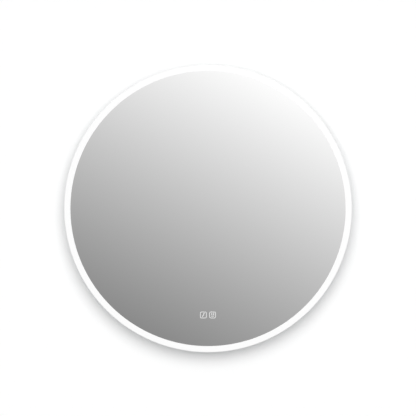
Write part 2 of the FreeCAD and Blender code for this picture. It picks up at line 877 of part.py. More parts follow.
def cleat_bar(label, length):
    """A length of the cleat section, with its screw line at height 0 and its back on the wall plane."""
    body = new_body(label)
    sketch = new_sketch(body, "section", "YZ_Plane")
    outer = "cleat_pocket + cleat_thick"
    polygon(
        sketch,
        [
            ("0", "-cleat_foot"),
            ("0", "cleat_rise"),
            ("-cleat_pocket", "cleat_rise"),
            ("-cleat_pocket", "cleat_top - cleat_chamfer"),
            ("-cleat_pocket - cleat_chamfer", "cleat_top"),
            (f"-({outer}) + cleat_chamfer", "cleat_top"),
            (f"-({outer})", "cleat_top - cleat_chamfer"),
            (f"-({outer})", "cleat_rise - cleat_web"),
            ("-cleat_thick", "cleat_rise - cleat_web - cleat_pocket"),
            ("-cleat_thick", "-cleat_foot"),
        ],
    )
    bar = pad(body, sketch, length)
    bar.Midplane = True
    doc.recompute()
    return body


def make_bumpers():
    """Two push-in rubber bumpers that stand the lower edge off the wall."""
    rear, front = size("plate_rear"), size("plate_front")
    foot, neck, barb = size("bumper_rad"), size("bumper_neck_rad"), size("bumper_barb_rad")
    bumper = solid_of_turn(
        [
            (0, 0),
            (0, foot * 0.9),
            (rear * 0.2, foot),
            (rear, foot),
            (rear, neck),
            (front, neck),
            (front, barb),
            (front + size("bumper_barb_high"), neck * 0.7),
            (front + size("bumper_barb_high"), 0),
        ]
    )
    places = [at(side + "bumper_side", "0", "-bumper_down") for side in ("-", "")]
    feature_piece("wall_bumpers", copies(bumper, places))


# ---------------------------------------------------------------- wiring box


def cover_screw_places():
    """Corners where screws hold the cover, through the back plate, to the wiring box."""
    places = []
    for sx in ("-", "+"):
        for sz in ("-", "+"):
            x = f"box_side {sx} (box_long / 2 - boss_inset)"
            places.append((x, f"box_up {sz} (box_high / 2 - boss_inset)"))
    return places


def ear_screw_places():
    """The box's own two screws, in its ears."""
    return [(f"box_side {s} (box_long / 2 + ear_reach / 2)", "box_up") for s in ("-", "+")]


def make_wiring_box():
    """Plastic box inside the back plate, open to the rear, with a screwed cover that has the cable inlet."""
    box = slab(
        "wiring_box",
        ("box_side", "box_up"),
        ("box_long", "box_high", "box_corner"),
        ("plate_front", "box_deep + box_wall"),
    )
    ears = new_sketch(box, "ears", "XZ_Plane")
    rounded(ears, "0", "0", "box_long + 2 * ear_reach", "ear_high", "box_corner / 2")
    pad(box, ears, "box_wall", "ears_pad")
    room = new_sketch(box, "room", "XZ_Plane")
    inner_corner = "box_corner - box_wall"
    rounded(room, "0", "0", "box_long - 2 * box_wall", "box_high - 2 * box_wall", inner_corner)
    cut(box, room, "box_deep", name="room_cut")
    bosses = new_sketch(box, "bosses", "XZ_Plane")
    for sx in ("-", ""):
        for sz in ("-", ""):
            x, up = f"{sx}(box_long / 2 - boss_inset)", f"{sz}(box_high / 2 - boss_inset)"
            circle(bosses, x, up, "boss_rad")
    pad(box, bosses, "box_deep + box_wall / 2", "bosses_pad")
    bores = new_sketch(box, "bores", "XZ_Plane")
    for sx in ("-", ""):
        for sz in ("-", ""):
            x, up = f"{sx}(box_long / 2 - boss_inset)", f"{sz}(box_high / 2 - boss_inset)"
            circle(bores, x, up, "plate_screw_rad + screw_slack")
        circle(bores, f"{sx}(box_long / 2 + ear_reach / 2)", "0", "plate_screw_rad + screw_slack")
    cut(box, bores, "box_deep / 2", name="bores_cut")
    floor_holes = new_sketch(box, "floor_holes", "XZ_Plane", "box_deep - 1")
    for sz in ("-", ""):
        circle(floor_holes, "-block_side", f"{sz}pole_pitch / 2", "block_screw_rad + screw_slack / 3")
    cut(box, floor_holes, "box_wall + 2", name="floor_cut")
    wires = new_sketch(box, "wire_holes", "YZ_Plane", "-(box_long / 2 + 1)")
    for i in (-1, 0, 1):
        up = f"{i} * pole_pitch" if i else "0"
        circle(wires, "-(pole_depth - plate_front)", up, "core_rad + lead_slack")
    cut(box, wires, "box_wall + 2", name="wire_cut")

    cover = slab(
        "wiring_cover",
        ("box_side", "box_up"),
        ("box_long", "box_high", "box_corner"),
        ("cover_rear", "cover_thick"),
    )
    holes = new_sketch(cover, "holes", "XZ_Plane")
    circle(holes, "grommet_side", "0", "grommet_neck_rad + screw_slack / 3")
    for sx in ("-", ""):
        for sz in ("-", ""):
            x, up = f"{sx}(box_long / 2 - boss_inset)", f"{sz}(box_high / 2 - boss_inset)"
            circle(holes, x, up, "plate_screw_rad + 2 * screw_slack")
    cut(cover, holes, name="holes_cut")

    screw = pan_screw("plate_screw_rad", "plate_screw_length")
    feature_piece("cover_screws", copies(screw, [at(x, "cover_rear", up) for x, up in cover_screw_places()]))
    short = pan_screw("plate_screw_rad", "short_screw_length")
    feature_piece("box_screws", copies(short, [at(x, "plate_rear", up) for x, up in ear_screw_places()]))

    rim, bore = size("grommet_rim"), size("grommet_bore_rad")
    neck, lip = size("grommet_neck_rad"), size("grommet_rim_rad")
    rear, front = size("cover_rear"), size("plate_rear")
    grommet = solid_of_turn(
        [
            (rear - rim, bore),
            (rear - rim, lip - 1.2),
            (rear - rim / 2, lip),
            (rear, lip),
            (rear, neck),
            (front, neck),
            (front, lip - 0.5),
            (front + rim, neck + 0.5),
            (front + rim, bore),
        ]
    )
    feature_piece("cable_grommet", copies(grommet, [at("box_side + grommet_side", "0", "box_up")]))


def make_terminals():
    """Three-pole terminal block on the floor of the wiring box: moulding, brass clamps and their screws."""
    count = int(size("pole_count"))
    x, rear = "box_side - block_side", "box_floor - block_deep"
    high = "pole_count * pole_pitch + 2"
    moulding = brick(x, rear, "box_up", "block_long", "block_deep", high)
    clamp_bits, screw_bits = [], []
    head = ("clamp_screw_rad * 1.2", "clamp_screw_rad * 0.8")
    screw = pan_screw("clamp_screw_rad", "clamp_rad * 1.5", head)
    for i in range(count):
        up = f"box_up + {i - (count - 1) / 2} * pole_pitch"
        left = f"{x} - block_long / 2"
        tunnel = rod(f"{left} - 1", "pole_depth", up, "clamp_rad + 0.1", "block_long + 2", "x")
        moulding = moulding.cut(tunnel)
        clamp = rod(f"{left} + 1", "pole_depth", up, "clamp_rad", "block_long - 2", "x")
        clamp = clamp.cut(rod(f"{left} - 1", "pole_depth", up, "clamp_bore_rad", "block_long + 2", "x"))
        for side in ("-", "+"):
            spot = f"{x} {side} clamp_screw_pitch / 2"
            reach = "block_deep / 2 - clamp_rad + 0.9"
            shaft = rod(spot, f"{rear} - 1", up, "clamp_screw_rad * 1.2 + 0.1", reach)
            moulding = moulding.cut(shaft)
            moulding = moulding.cut(rod(spot, rear, up, "clamp_screw_rad + 0.1", "block_deep / 2"))
            clamp = clamp.cut(rod(spot, rear, up, "clamp_screw_rad + 0.05", "block_deep / 2"))
            screw_bits.append(at(spot, "pole_depth - clamp_rad - 0.9", up))
        clamp_bits.append(clamp)
    fixings = []
    for side in ("-", "+"):
        up = f"box_up {side} pole_pitch / 2"
        moulding = moulding.cut(rod(x, f"{rear} - 1", up, "block_screw_rad + screw_slack", "block_deep + 2"))
        fixings.append(at(x, rear, up))
    feature_piece("terminal_block", moulding)
    head = ("block_screw_rad * 1.75", "block_screw_rad * 1.2")
    fixing = pan_screw("block_screw_rad", "block_deep + box_wall - 0.3", head)
    feature_piece("block_screws", copies(fixing, fixings))
    feature_piece("terminal_clamps", Part.makeCompound(clamp_bits))
    feature_piece("terminal_screws", copies(screw, screw_bits))


def make_earth():
    """Earth stud on the back plate with its ring tag, toothed washer and nut."""
    x, up = "stud_side", "stud_up"
    feature_piece("earth_stud", rod(x, "plate_front", up, "stud_rad", "stud_long"))
    bore = rod(x, "plate_front - 1", up, "stud_rad + 0.15", "stud_long + 3")
    tag = rod(x, "plate_front", up, "washer_rad", "tag_thick")
    tag = tag.fuse(brick(x, "plate_front", f"{up} + washer_rad + 1.5", "3.4", "tag_thick", "9"))
    barrel = rod(x, "plate_front + core_rad + 0.5", f"{up} + washer_rad + 4", "core_rad + 0.5", "6", "z")
    tag = tag.fuse(barrel).cut(bore).removeSplitter()
    feature_piece("earth_tag", tag)
    washer = rod(x, "plate_front + tag_thick", up, "washer_rad", "washer_thick").cut(bore)
    feature_piece("earth_washer", washer)
    corners = []
    for i in range(7):
        turn = math.radians(60 * i)
        reach = size("nut_flats") / math.sqrt(3)
        corners.append(FreeCAD.Vector(reach * math.cos(turn), 0, reach * math.sin(turn)))
    nut = Part.Face(Part.makePolygon(corners)).extrude(FreeCAD.Vector(0, -size("nut_high"), 0))
    nut.translate(at(x, "plate_front + tag_thick + washer_thick", up))
    feature_piece("earth_nut", nut.cut(bore))


# ---------------------------------------------------------------- driver


def driver_screw_places():
    reach = "(driver_long / 2 + driver_ear / 2)"
    return [(f"-driver_side {s} {reach}", "driver_up") for s in ("-", "+")]


def make_driver():
    """Light driver: a two-part case with ears, and its board with a transformer, capacitors and terminals."""
    middle = ("-driver_side", "driver_up")
    outline = ("driver_long", "driver_high", "driver_corner")
    case = slab("driver_case", middle, outline, ("plate_front", "driver_deep"))
    ears = new_sketch(case, "ears", "XZ_Plane")
    rounded(ears, "0", "0", "driver_long + 2 * driver_ear", "driver_high / 2", "driver_corner")
    pad(case, ears, "driver_wall", "ears_pad")
    room = new_sketch(case, "room", "XZ_Plane", "driver_wall")
    wide, high = "(driver_long - 2 * driver_wall)", "(driver_high - 2 * driver_wall)"
    rounded(room, "0", "0", wide, high, "driver_corner - driver_wall")
    cut(case, room, "driver_deep", name="room_cut")
    posts = new_sketch(case, "posts", "XZ_Plane", "driver_wall / 2")
    for sx in ("-", ""):
        for sz in ("-", ""):
            x = f"{sx}({wide} - 2 * board_margin - 4 * post_rad) / 2"
            circle(posts, x, f"{sz}({high} - 2 * board_margin - 2 * post_rad) / 2", "post_rad")
    pad(case, posts, "driver_wall / 2 + post_high", "posts_pad")
    fixings = new_sketch(case, "fixings", "XZ_Plane")
    for s in ("-", ""):
        circle(fixings, f"{s}(driver_long / 2 + driver_ear / 2)", "0", "plate_screw_rad + 2 * screw_slack")
    cut(case, fixings, "driver_wall", name="fixings_cut")
    wires = new_sketch(case, "wire_holes", "YZ_Plane")
    depth = "-(driver_wire_depth - plate_front)"
    circle(wires, depth, "pole_pitch / 2", "core_rad + lead_slack")
    circle(wires, depth, "-pole_pitch / 2", "core_rad + lead_slack")
    cut(case, wires, "driver_long", name="mains_cut")
    outlet = new_sketch(case, "outlet", "YZ_Plane")
    circle(outlet, depth, "0", "lead_rad + lead_slack")
    cut(case, outlet, "driver_long", back=True, name="outlet_cut")

    lid = slab("driver_lid", middle, outline, ("driver_front", "lid_thick"))
    lip = new_sketch(lid, "lip", "XZ_Plane", "-lid_thick")
    fit = "screw_slack"
    outer = "driver_corner - driver_wall - screw_slack"
    rounded(lip, "0", "0", f"{wide} - 2 * {fit}", f"{high} - 2 * {fit}", outer)
    pad(lid, lip, "lid_thick * 1.5", "lip_pad")
    hollow = new_sketch(lid, "hollow", "XZ_Plane", "-lid_thick")
    rounded(hollow, "0", "0", f"{wide} - 2 * {fit} - 3", f"{high} - 2 * {fit} - 3", "0.2")
    cut(lid, hollow, "lid_thick", name="hollow_cut")

    board_long, board_high = f"{wide} - 2 * board_margin", f"{high} - 2 * board_margin"
    slab("driver_board", middle, (board_long, board_high, "1"), ("driver_board_rear", "board_thick"))
    face = "driver_board_front"
    core_x, opening = "-driver_side - core_shift", "core_window_high"
    core = brick(core_x, face, "driver_up", "core_wide", "core_deep", "core_high")
    window = brick(core_x, f"{face} + 3", "driver_up", "core_wide * 1.5", "core_deep - 6", opening)
    limb = brick(core_x, face, "driver_up", "core_wide", "core_deep", "core_limb")
    feature_piece("transformer_core", core.cut(window).fuse(limb).removeSplitter())
    coil = brick(core_x, f"{face} + 3.3", "driver_up", "coil_wide", "core_deep - 6.6", f"{opening} - 1")
    bore = brick(core_x, face, "driver_up", "coil_wide * 2", "core_deep", "core_limb + 0.4")
    coil = coil.cut(bore)
    feature_piece("transformer_coil", coil)
    cans = []
    cans_at = (("+", "mains_can_place", "can_rad"), ("-", "light_can_place", "can_rad * 0.8"))
    for side, place, radius in cans_at:
        for sign in ("+", "-"):
            up = f"driver_up {sign} (driver_high / 2 - driver_wall - can_inset - {radius})"
            x = f"-driver_side {side} (driver_long / 2 - {place})"
            can = rod(x, face, up, radius, "can_high")
            cans.append(can.makeChamfer(0.8, [can.Edges[0]]))
    feature_piece("driver_capacitors", Part.makeCompound(cans))
    plugs = []
    for side, high in (("+", "2 * pole_pitch + 2"), ("-", "pole_pitch + 3")):
        x = f"-driver_side {side} (driver_long / 2 - driver_plug_place)"
        plugs.append(brick(x, face, "driver_up", "driver_plug_long", "driver_plug_deep", high))
    feature_piece("driver_terminals", Part.makeCompound(plugs))
    screw = pan_screw("plate_screw_rad", "short_screw_length")
    turn = FreeCAD.Rotation(FreeCAD.Vector(1, 0, 0), 180)
    places = [
        FreeCAD.Placement(at(x, "plate_front + driver_wall", up), turn) for x, up in driver_screw_places()
    ]
    feature_piece("driver_screws", copies(screw, places))


# ---------------------------------------------------------------- defogger and touch switch


def make_defogger():
    """Heating film bonded to the silvering, with its meandering track and a terminal at its lower edge."""
    slab(
        "defogger_film",
        ("0", "film_up"),
        ("film_wide", "film_high", "film_corner"),
        ("film_rear", "film_thick"),
    )
    track = new_body("defogger_track")
    turn = new_sketch(track, "turn", "XZ_Plane")
    half, low, high = "track_width", "-track_high / 2", "track_high / 2"
    pitch, width = "track_pitch", "track_width"
    start = f"-{pitch} * track_turns / 2"
    polygon(
        turn,
        [
            (start, low),
            (start, high),
            (f"{start} + {pitch} / 2 + {width}", high),
            (f"{start} + {pitch} / 2 + {width}", f"{low} + {width}"),
            (f"{start} + {pitch} + {width}", f"{low} + {width}"),
            (f"{start} + {pitch} + {width}", low),
            (f"{start} + {pitch} / 2", low),
            (f"{start} + {pitch} / 2", f"{high} - {width}"),
            (f"{start} + {width}", f"{high} - {width}"),
            (f"{start} + {width}", low),
        ],
    )
    repeat_along(track, pad(track, turn, "track_thick"), turn, "track_pitch", "track_turns")
    put(track, "-track_width / 2", "track_rear", "film_up")
    edge = "film_up - film_high / 2"
    terminal = brick("0", "track_rear - 4", f"{edge} + 12", "24", "4", "12")
    terminal = terminal.cut(brick("0", "track_rear - 4.5", f"{edge} + 14", "18", "1.5", "10"))
    feature_piece("defogger_terminal", terminal)


def make_switch():
    """Touch switch behind the two windows: housing, board, light guides, sensing frames and connectors."""
    middle = ("0", "-icon_drop")
    housing = slab(
        "switch_housing", middle, ("switch_wide", "switch_high", "3"), ("switch_rear", "switch_deep")
    )
    room = new_sketch(housing, "room", "XZ_Plane", "switch_wall")
    wide, high = "(switch_wide - 2 * switch_wall)", "(switch_high - 2 * switch_wall)"
    rounded(room, "0", "0", wide, high, "1.4")
    cut(housing, room, "switch_deep", name="room_cut")
    depth = "-(switch_wire_depth - switch_rear)"
    supply = new_sketch(housing, "supply_hole", "YZ_Plane")
    circle(supply, depth, "0", "lead_rad + lead_slack")
    cut(housing, supply, "switch_wide", back=True, name="supply_cut")
    light = new_sketch(housing, "light_hole", "YZ_Plane")
    circle(light, depth, "0", "thin_lead_rad + lead_slack")
    cut(housing, light, "switch_wide", name="light_cut")
    heat = new_sketch(housing, "heat_hole", "XY_Plane")
    circle(heat, "0", depth, "thin_lead_rad + lead_slack")
    cut(housing, heat, "switch_high", name="heat_cut")
    ledges = new_sketch(housing, "ledges", "XZ_Plane", "switch_wall / 2")
    for s in ("-", ""):
        rounded(ledges, f"{s}({wide} / 2 - 1.5)", f"-({high} / 2 - 3)", "5", "8", "1")
        rounded(ledges, f"{s}({wide} / 2 - 1.5)", f"{high} / 2 - 3", "5", "8", "1")
    pad(housing, ledges, "switch_wall / 2 + switch_board_gap", "ledges_pad")

    board = (f"{wide} - 0.6", f"{high} - 0.6", "1.2")
    slab("switch_board", middle, board, ("switch_board_rear", "board_thick"))
    guides, frames, lamps, plugs = [], [], [], []
    guide_deep = "coating_rear - switch_board_front - 0.1"
    for side in ("-", ""):
        x, up = f"{side}icon_pitch / 2", "-icon_drop"
        guide = brick(x, "switch_board_front", up, "guide_width", guide_deep, "guide_width")
        pocket = brick(x, "switch_board_front", up, "guide_width - 5", "2", "guide_width - 5")
        guides.append(guide.cut(pocket))
        wide, thick = "electrode_width", "electrode_thick"
        frame = brick(x, f"coating_rear - {thick}", up, wide, thick, wide)
        hole = brick(x, "coating_rear - 1", up, "guide_width + 0.4", "2", "guide_width + 0.4")
        frames.append(frame.cut(hole))
        lamps.append(brick(x, "switch_board_front", up, "chip_long", "chip_high", "chip_wide"))
    for x, up in (("-plug_place", "0"), ("plug_place", "0"), ("0", "plug_place / 2")):
        plugs.append(brick(x, "switch_board_rear - 5", f"-icon_drop + {up}", "plug_size", "5", "plug_size"))
    feature_piece("icon_light_guides", Part.makeCompound(guides))
    feature_piece("touch_electrodes", Part.makeCompound(frames))
    feature_piece("icon_lamps", Part.makeCompound(lamps))
    feature_piece("switch_connectors", Part.makeCompound(plugs))


# ---------------------------------------------------------------- leads


def make_leads():
    """Leads inside the housing: mains wires, the switch's supply, and its outputs to light and film."""
    block_left = "box_side - block_side - block_long / 2 + 1"
    driver_right = "-driver_side + driver_long / 2"
    inlet_face = f"{driver_right} - driver_plug_place + driver_plug_long / 2 + 0.2"
    for label, i in (("live_wire", 1), ("neutral_wire", 0)):
        up_in = f"box_up + {i} * pole_pitch"
        up_out = f"driver_up + {2 * i - 1} * pole_pitch / 2"
        lead(
            label,
            "core_rad",
            [
                (f"{block_left} - 0.3", "pole_depth", up_in),
                ("box_side - box_long / 2 - 6", "pole_depth", up_in),
                (f"{driver_right} + 10", "driver_wire_depth", up_out),
                (inlet_face, "driver_wire_depth", up_out),
            ],
        )
    tag_top = "stud_up + washer_rad + 10.3"
    earth_depth = "plate_front + core_rad + 0.5"
    lead(
        "earth_wire",
        "core_rad",
        [
            (f"{block_left} - 0.3", "pole_depth", "box_up - pole_pitch"),
            ("box_side - box_long / 2 - 8", "pole_depth", "box_up - pole_pitch"),
            ("stud_side", "(pole_depth + plate_front) / 2", "box_up - pole_pitch - 4"),
            ("stud_side", earth_depth, "(box_up + stud_up) / 2 + 4"),
            ("stud_side", earth_depth, tag_top),
        ],
    )
    plug_side = "(plug_place + plug_size / 2)"
    lie = "plate_front + lead_rad + 0.2"
    driver_left = "(driver_side + driver_long / 2)"
    plug_end = "driver_plug_place - driver_plug_long / 2 - 0.3"
    drop = "(driver_up + icon_drop)"
    supply = [
        (f"-{driver_left} + {plug_end}", "driver_wire_depth", "driver_up"),
        (f"-{driver_left} - 22", "driver_wire_depth", "driver_up"),
        (f"-{driver_left} - 30", lie, f"driver_up - 0.14 * {drop}"),
        (f"-{driver_left} * 1.11", lie, f"driver_up - 0.42 * {drop}"),
        (f"-{driver_left} * 0.89", lie, f"driver_up - 0.67 * {drop}"),
        (f"-{driver_left} * 0.58", lie, f"driver_up - 0.87 * {drop}"),
        (f"-{driver_left} * 0.41", "switch_wire_depth - 6", f"driver_up - 0.97 * {drop}"),
        ("-switch_wide * 0.86", "switch_wire_depth", "-icon_drop"),
        (f"-{plug_side} - 0.3", "switch_wire_depth", "-icon_drop"),
    ]
    lead("supply_lead", "lead_rad", supply)
    make_saddles(supply, (3, 4), "lead_rad")
    strip_end = "(strip_gap_angle / 2 + 0.4) * 1deg"
    solder = "(strip_outer + thin_lead_rad + 0.05)"
    lead(
        "light_lead",
        "thin_lead_rad",
        [
            (f"{plug_side} + 0.3", "switch_wire_depth", "-icon_drop"),
            ("switch_wide * 0.82", "switch_wire_depth", "-icon_drop"),
            ("switch_wide * 0.86", "strip_middle", "-icon_drop - switch_high * 0.6"),
            ("lead_hole_side", "strip_middle", "-(wall_inner - 10)"),
            ("lead_hole_side", "strip_middle", "-(wall_outer + 7)"),
            (f"{solder} * sin({strip_end})", "strip_middle", f"-{solder} * cos({strip_end})"),
        ],
    )
    low = "(-icon_drop + plug_place / 2 + plug_size / 2 + 0.3)"
    rise = f"(film_up - film_high / 2 + 5.7 - {low})"
    lead(
        "heat_lead",
        "thin_lead_rad",
        [
            ("0", "switch_wire_depth", low),
            ("0", "switch_wire_depth", f"{low} + 0.31 * {rise}"),
            ("6", "(switch_wire_depth + track_rear) / 2", f"{low} + 0.6 * {rise}"),
            ("0", "track_rear - 2", f"{low} + 0.82 * {rise}"),
            ("0", "track_rear - 2", f"{low} + {rise}"),
        ],
    )


def make_lead_grommet():
    """Rubber grommet where the light's lead passes through the ring's inner wall."""
    neck = size("thin_lead_rad + 2 * lead_slack") - 0.1
    bore, lip, rim = size("thin_lead_rad") + 0.1, neck + 1.4, 1.2
    inner = math.sqrt(size("wall_inner") ** 2 - (size("lead_hole_side") + lip) ** 2) - 0.1
    outer = math.sqrt(size("wall_outer") ** 2 - (size("lead_hole_side") - lip) ** 2) + 0.1
    grommet = solid_of_turn(
        [
            (inner - rim, bore),
            (inner - rim, lip - 0.5),
            (inner, lip),
            (inner, neck),
            (outer, neck),
            (outer, lip),
            (outer + rim, lip - 0.5),
            (outer + rim, bore),
        ]
    )
    downward = FreeCAD.Rotation(FreeCAD.Vector(0, -1, 0), FreeCAD.Vector(0, 0, -1))
    spot = at("lead_hole_side", "strip_middle", "0")
    feature_piece("lead_grommet", copies(grommet, [FreeCAD.Placement(spot, downward)]))


def make_saddles(route, runs, radius):
    """Stick-on saddles that hold a lead down on the back plate at the middle of some of its runs."""
    points = [at(*point) for point in route]
    face, long, thick = size("plate_front"), size("saddle_long"), size("saddle_thick")
    inner, outer = size(radius) + 0.15, size(radius) + thick
    saddles = []
    for run in runs:
        start, end = points[run], points[run + 1]
        middle, along = (start + end) * 0.5, (end - start).normalize()
        high = -middle.y - face
        foot_half = outer + size("saddle_foot")
        foot = Part.makeBox(long, thick, 2 * foot_half, FreeCAD.Vector(-long / 2, -thick, -foot_half))
        stem = Part.makeBox(long, high, 2 * outer, FreeCAD.Vector(-long / 2, -high, -outer))
        axis_start, x_axis = FreeCAD.Vector(-long / 2, -high, 0), FreeCAD.Vector(1, 0, 0)
        arch = Part.makeCylinder(outer, long, axis_start, x_axis)
        below = Part.makeBox(long, outer, 2 * outer, FreeCAD.Vector(-long / 2, 0, -outer))
        bore = Part.makeCylinder(inner, long, axis_start, x_axis)
        saddle = foot.fuse([arch, stem]).cut(below).cut(bore).removeSplitter()
        turn = FreeCAD.Rotation(x_axis, along)
        saddle.Placement = FreeCAD.Placement(FreeCAD.Vector(middle.x, -face, middle.z), turn)
        saddles.append(saddle)
    feature_piece("lead_saddles", Part.makeCompound(saddles))


# ---------------------------------------------------------------- build and write


def check_document():
    """Stops if any object failed, or if a piece isn't made of closed solids."""
    for thing in doc.Objects:
        if "Invalid" in thing.State or "Error" in thing.State:
            raise RuntimeError(f"{thing.Label} failed: {thing.State}")
    for piece in PIECES:
        shape = piece.Shape
        if shape.isNull() or not shape.isValid() or not shape.Solids:
            raise RuntimeError(f"{piece.Label} has no valid solid")


make_glass()
make_ring()
make_joiner()
make_light()
make_back_plate()
make_cleat()
make_bumpers()
make_wiring_box()
make_terminals()
make_earth()
make_driver()
make_defogger()
make_switch()
make_leads()
make_lead_grommet()
doc.recompute()
check_document()

os.makedirs("parts", exist_ok=True)
for piece in PIECES:
    piece.Shape.exportStep(f"parts/{piece.Label}.step")
print(f"{len(PIECES)} pieces, {sum(len(p.Shape.Solids) for p in PIECES)} solids")
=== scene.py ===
# %% [markdown]
# # Dressing a lighted bathroom mirror
# The CAD model already holds every solid of this mirror: the glass, the rolled ring behind it, the
# steel back plate, the rails it hangs on and the wiring inside. Blender adds what a solid can't
# say: what each surface is made of, the silver and the frosted lit rim of the glass, the two touch
# signs, and the small fasteners a person sees when they take the mirror off the wall. The first
# step loads the solids as a fixed frame. They are never moved or reshaped.

# %% Load the frame
import math

import bpy
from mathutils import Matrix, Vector


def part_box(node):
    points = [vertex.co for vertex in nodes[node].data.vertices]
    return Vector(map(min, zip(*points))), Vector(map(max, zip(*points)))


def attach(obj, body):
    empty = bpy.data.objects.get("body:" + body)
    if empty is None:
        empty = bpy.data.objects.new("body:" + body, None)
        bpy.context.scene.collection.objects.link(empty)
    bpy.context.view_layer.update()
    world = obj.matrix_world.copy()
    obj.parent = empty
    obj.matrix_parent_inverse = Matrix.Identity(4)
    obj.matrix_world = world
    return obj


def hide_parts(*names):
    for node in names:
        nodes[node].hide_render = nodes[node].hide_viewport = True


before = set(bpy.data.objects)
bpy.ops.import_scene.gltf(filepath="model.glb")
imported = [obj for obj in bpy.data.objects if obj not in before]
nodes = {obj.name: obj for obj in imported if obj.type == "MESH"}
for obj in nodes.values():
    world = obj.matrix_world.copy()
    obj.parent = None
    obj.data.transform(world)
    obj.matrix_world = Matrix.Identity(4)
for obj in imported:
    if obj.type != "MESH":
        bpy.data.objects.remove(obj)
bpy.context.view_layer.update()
bpy.ops.object.select_all(action="DESELECT")

# %% [markdown]
# ## Sizes
# Blender works in metres here, in the same place as the CAD. The wall is the plane y = 0 and the
# room is towards -Y, so "front" means a smaller y. Reading the sizes off the nodes keeps the new
# pieces in step with the solids they belong to. Only the sizes that no box can tell are written
# down. The pane's face lies a hair behind the CAD's, so that the touch signs can stand proud of it
# and still stay inside the CAD box.

# %% Sizes of the mirror
MM = 0.001
glass_low, glass_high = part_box("mirror_glass")
glass_radius = min(glass_high.x - glass_low.x, glass_high.z - glass_low.z) / 2
middle = (glass_low + glass_high) / 2
glass_front, glass_rear = glass_low.y, glass_high.y
SIGN_PROUD = 0.03 * MM
pane_front = glass_front + SIGN_PROUD
LIT_BAND = 13 * MM
silver_radius = glass_radius - LIT_BAND
print(f"glass: radius {glass_radius:.4f} m, front face at y = {glass_front:.4f}, "
      f"middle at z = {middle.z:.3f}")

# %% [markdown]
# ## Helpers for finishes
# A finish is a small graph of nodes. Colours are picked as sRGB hex values, as on a colour card,
# but shaders calculate in linear light, so one function converts them. The second function adds any
# node with its options and its sockets. Two short ones rest on it: a step of arithmetic, and a mix
# of two colours. The last two start a material with its Principled shader and link nodes to that
# shader.


# %% Colour, node and material helpers
def linear(hex_colour, shade=1.0):
    """An sRGB hex colour as linear red, green, blue and alpha, made lighter or darker by shade."""
    channels = []
    for start in (0, 2, 4):
        level = int(hex_colour[start:start + 2], 16) / 255
        level = level / 12.92 if level <= 0.04045 else ((level + 0.055) / 1.055) ** 2.4
        channels.append(min(1.0, level * shade))
    return (*channels, 1.0)


def add_node(owner, kind, sockets=None, **options):
    """Add one node to a material or world, set its options, and fill or link its input sockets."""
    made = owner.node_tree.nodes.new(kind)
    for option, value in options.items():
        setattr(made, option, value)
    for socket, value in (sockets or {}).items():
        if isinstance(value, bpy.types.NodeSocket):
            owner.node_tree.links.new(value, made.inputs[socket])
        else:
            made.inputs[socket].default_value = value
    return made


def reckon(owner, operation, *values):
    """One step of arithmetic on numbers or node outputs."""
    step = add_node(owner, "ShaderNodeMath", dict(enumerate(values)), operation=operation)
    return step.outputs[0]


def blend(owner, share, low, high):
    """Two colours mixed by share. The Mix node keeps its colours on inputs 6 and 7 and output 2."""
    mix = add_node(owner, "ShaderNodeMix", {"Factor": share, 6: low, 7: high}, data_type="RGBA")
    return mix.outputs[2]


def start_finish(name, **sockets):
    """A material whose Principled shader has these values on its sockets, such as Base_Color=."""
    finish = bpy.data.materials.new(name)
    finish.use_nodes = True
    shader = finish.node_tree.nodes["Principled BSDF"]
    for socket, value in sockets.items():
        shader.inputs[socket.replace("_", " ")].default_value = value
    return finish, shader


def feed(finish, shader, **sockets):
    """Link node outputs to the shader's sockets."""
    for socket, output in sockets.items():
        finish.node_tree.links.new(output, shader.inputs[socket.replace("_", " ")])


# %% [markdown]
# ## Patterns in real millimetres
# Most finishes here share a recipe: a fine grain that lifts the surface, and a slow mottle that
# shifts colour and gloss a little, because no real surface is perfectly even. A noise texture
# repeats about once per 1 / scale metres, so its scale is worked out from the grain's real size in
# millimetres. Stretching the coordinates with a Mapping node turns grain into the lines that a die
# or a brush leaves.


# %% The grain and mottle recipe
# The two noises added together lie mostly within this span.
NOISE_SPAN = {"From Min": 0.6, "From Max": 1.4}
GLOSS_SHIFT = 0.15


def lay_grain(finish, shader, colour, roughness, grain, lift,
              mottle=45, shift=0.05, run=(1, 1, 1)):
    """Lift a grain, and shift colour and gloss by a mottle: grain, lift and mottle are in mm.

    shift is the share by which the colour changes, and run stretches the grain along each axis.
    """
    place = add_node(finish, "ShaderNodeTexCoord").outputs["Object"]
    drawn = add_node(finish, "ShaderNodeMapping", {
        "Vector": place, "Scale": [1 / (grain * MM * stretch) for stretch in run]}).outputs[0]
    fine = add_node(finish, "ShaderNodeTexNoise", {
        "Vector": drawn, "Scale": 1.0, "Detail": 3.0, "Roughness": 0.6}).outputs["Fac"]
    slow = add_node(finish, "ShaderNodeTexNoise", {
        "Vector": place, "Scale": 1 / (mottle * MM), "Detail": 4.0}).outputs["Fac"]
    both = reckon(finish, "ADD", fine, slow)
    tint = add_node(finish, "ShaderNodeMapRange", {"Value": both, **NOISE_SPAN}).outputs["Result"]
    toned = blend(finish, tint, linear(colour, 1 - shift), linear(colour, 1 + shift))
    gloss = add_node(finish, "ShaderNodeMapRange", {
        "Value": both, **NOISE_SPAN, "To Min": roughness * (1 - GLOSS_SHIFT),
        "To Max": roughness * (1 + GLOSS_SHIFT)}).outputs["Result"]
    lifted = add_node(finish, "ShaderNodeBump", {
        "Height": fine, "Distance": lift * MM, "Strength": 1.0}).outputs["Normal"]
    feed(finish, shader, Base_Color=toned, Roughness=gloss, Normal=lifted)
    return finish


def moulded(name, colour, roughness, ior, grain=1.2, lift=0.03, **more):
    """A moulded plastic or rubber: even colour with a fine spark-eroded grain from the tool."""
    return lay_grain(*start_finish(name, IOR=ior), colour, roughness, grain, lift, **more)


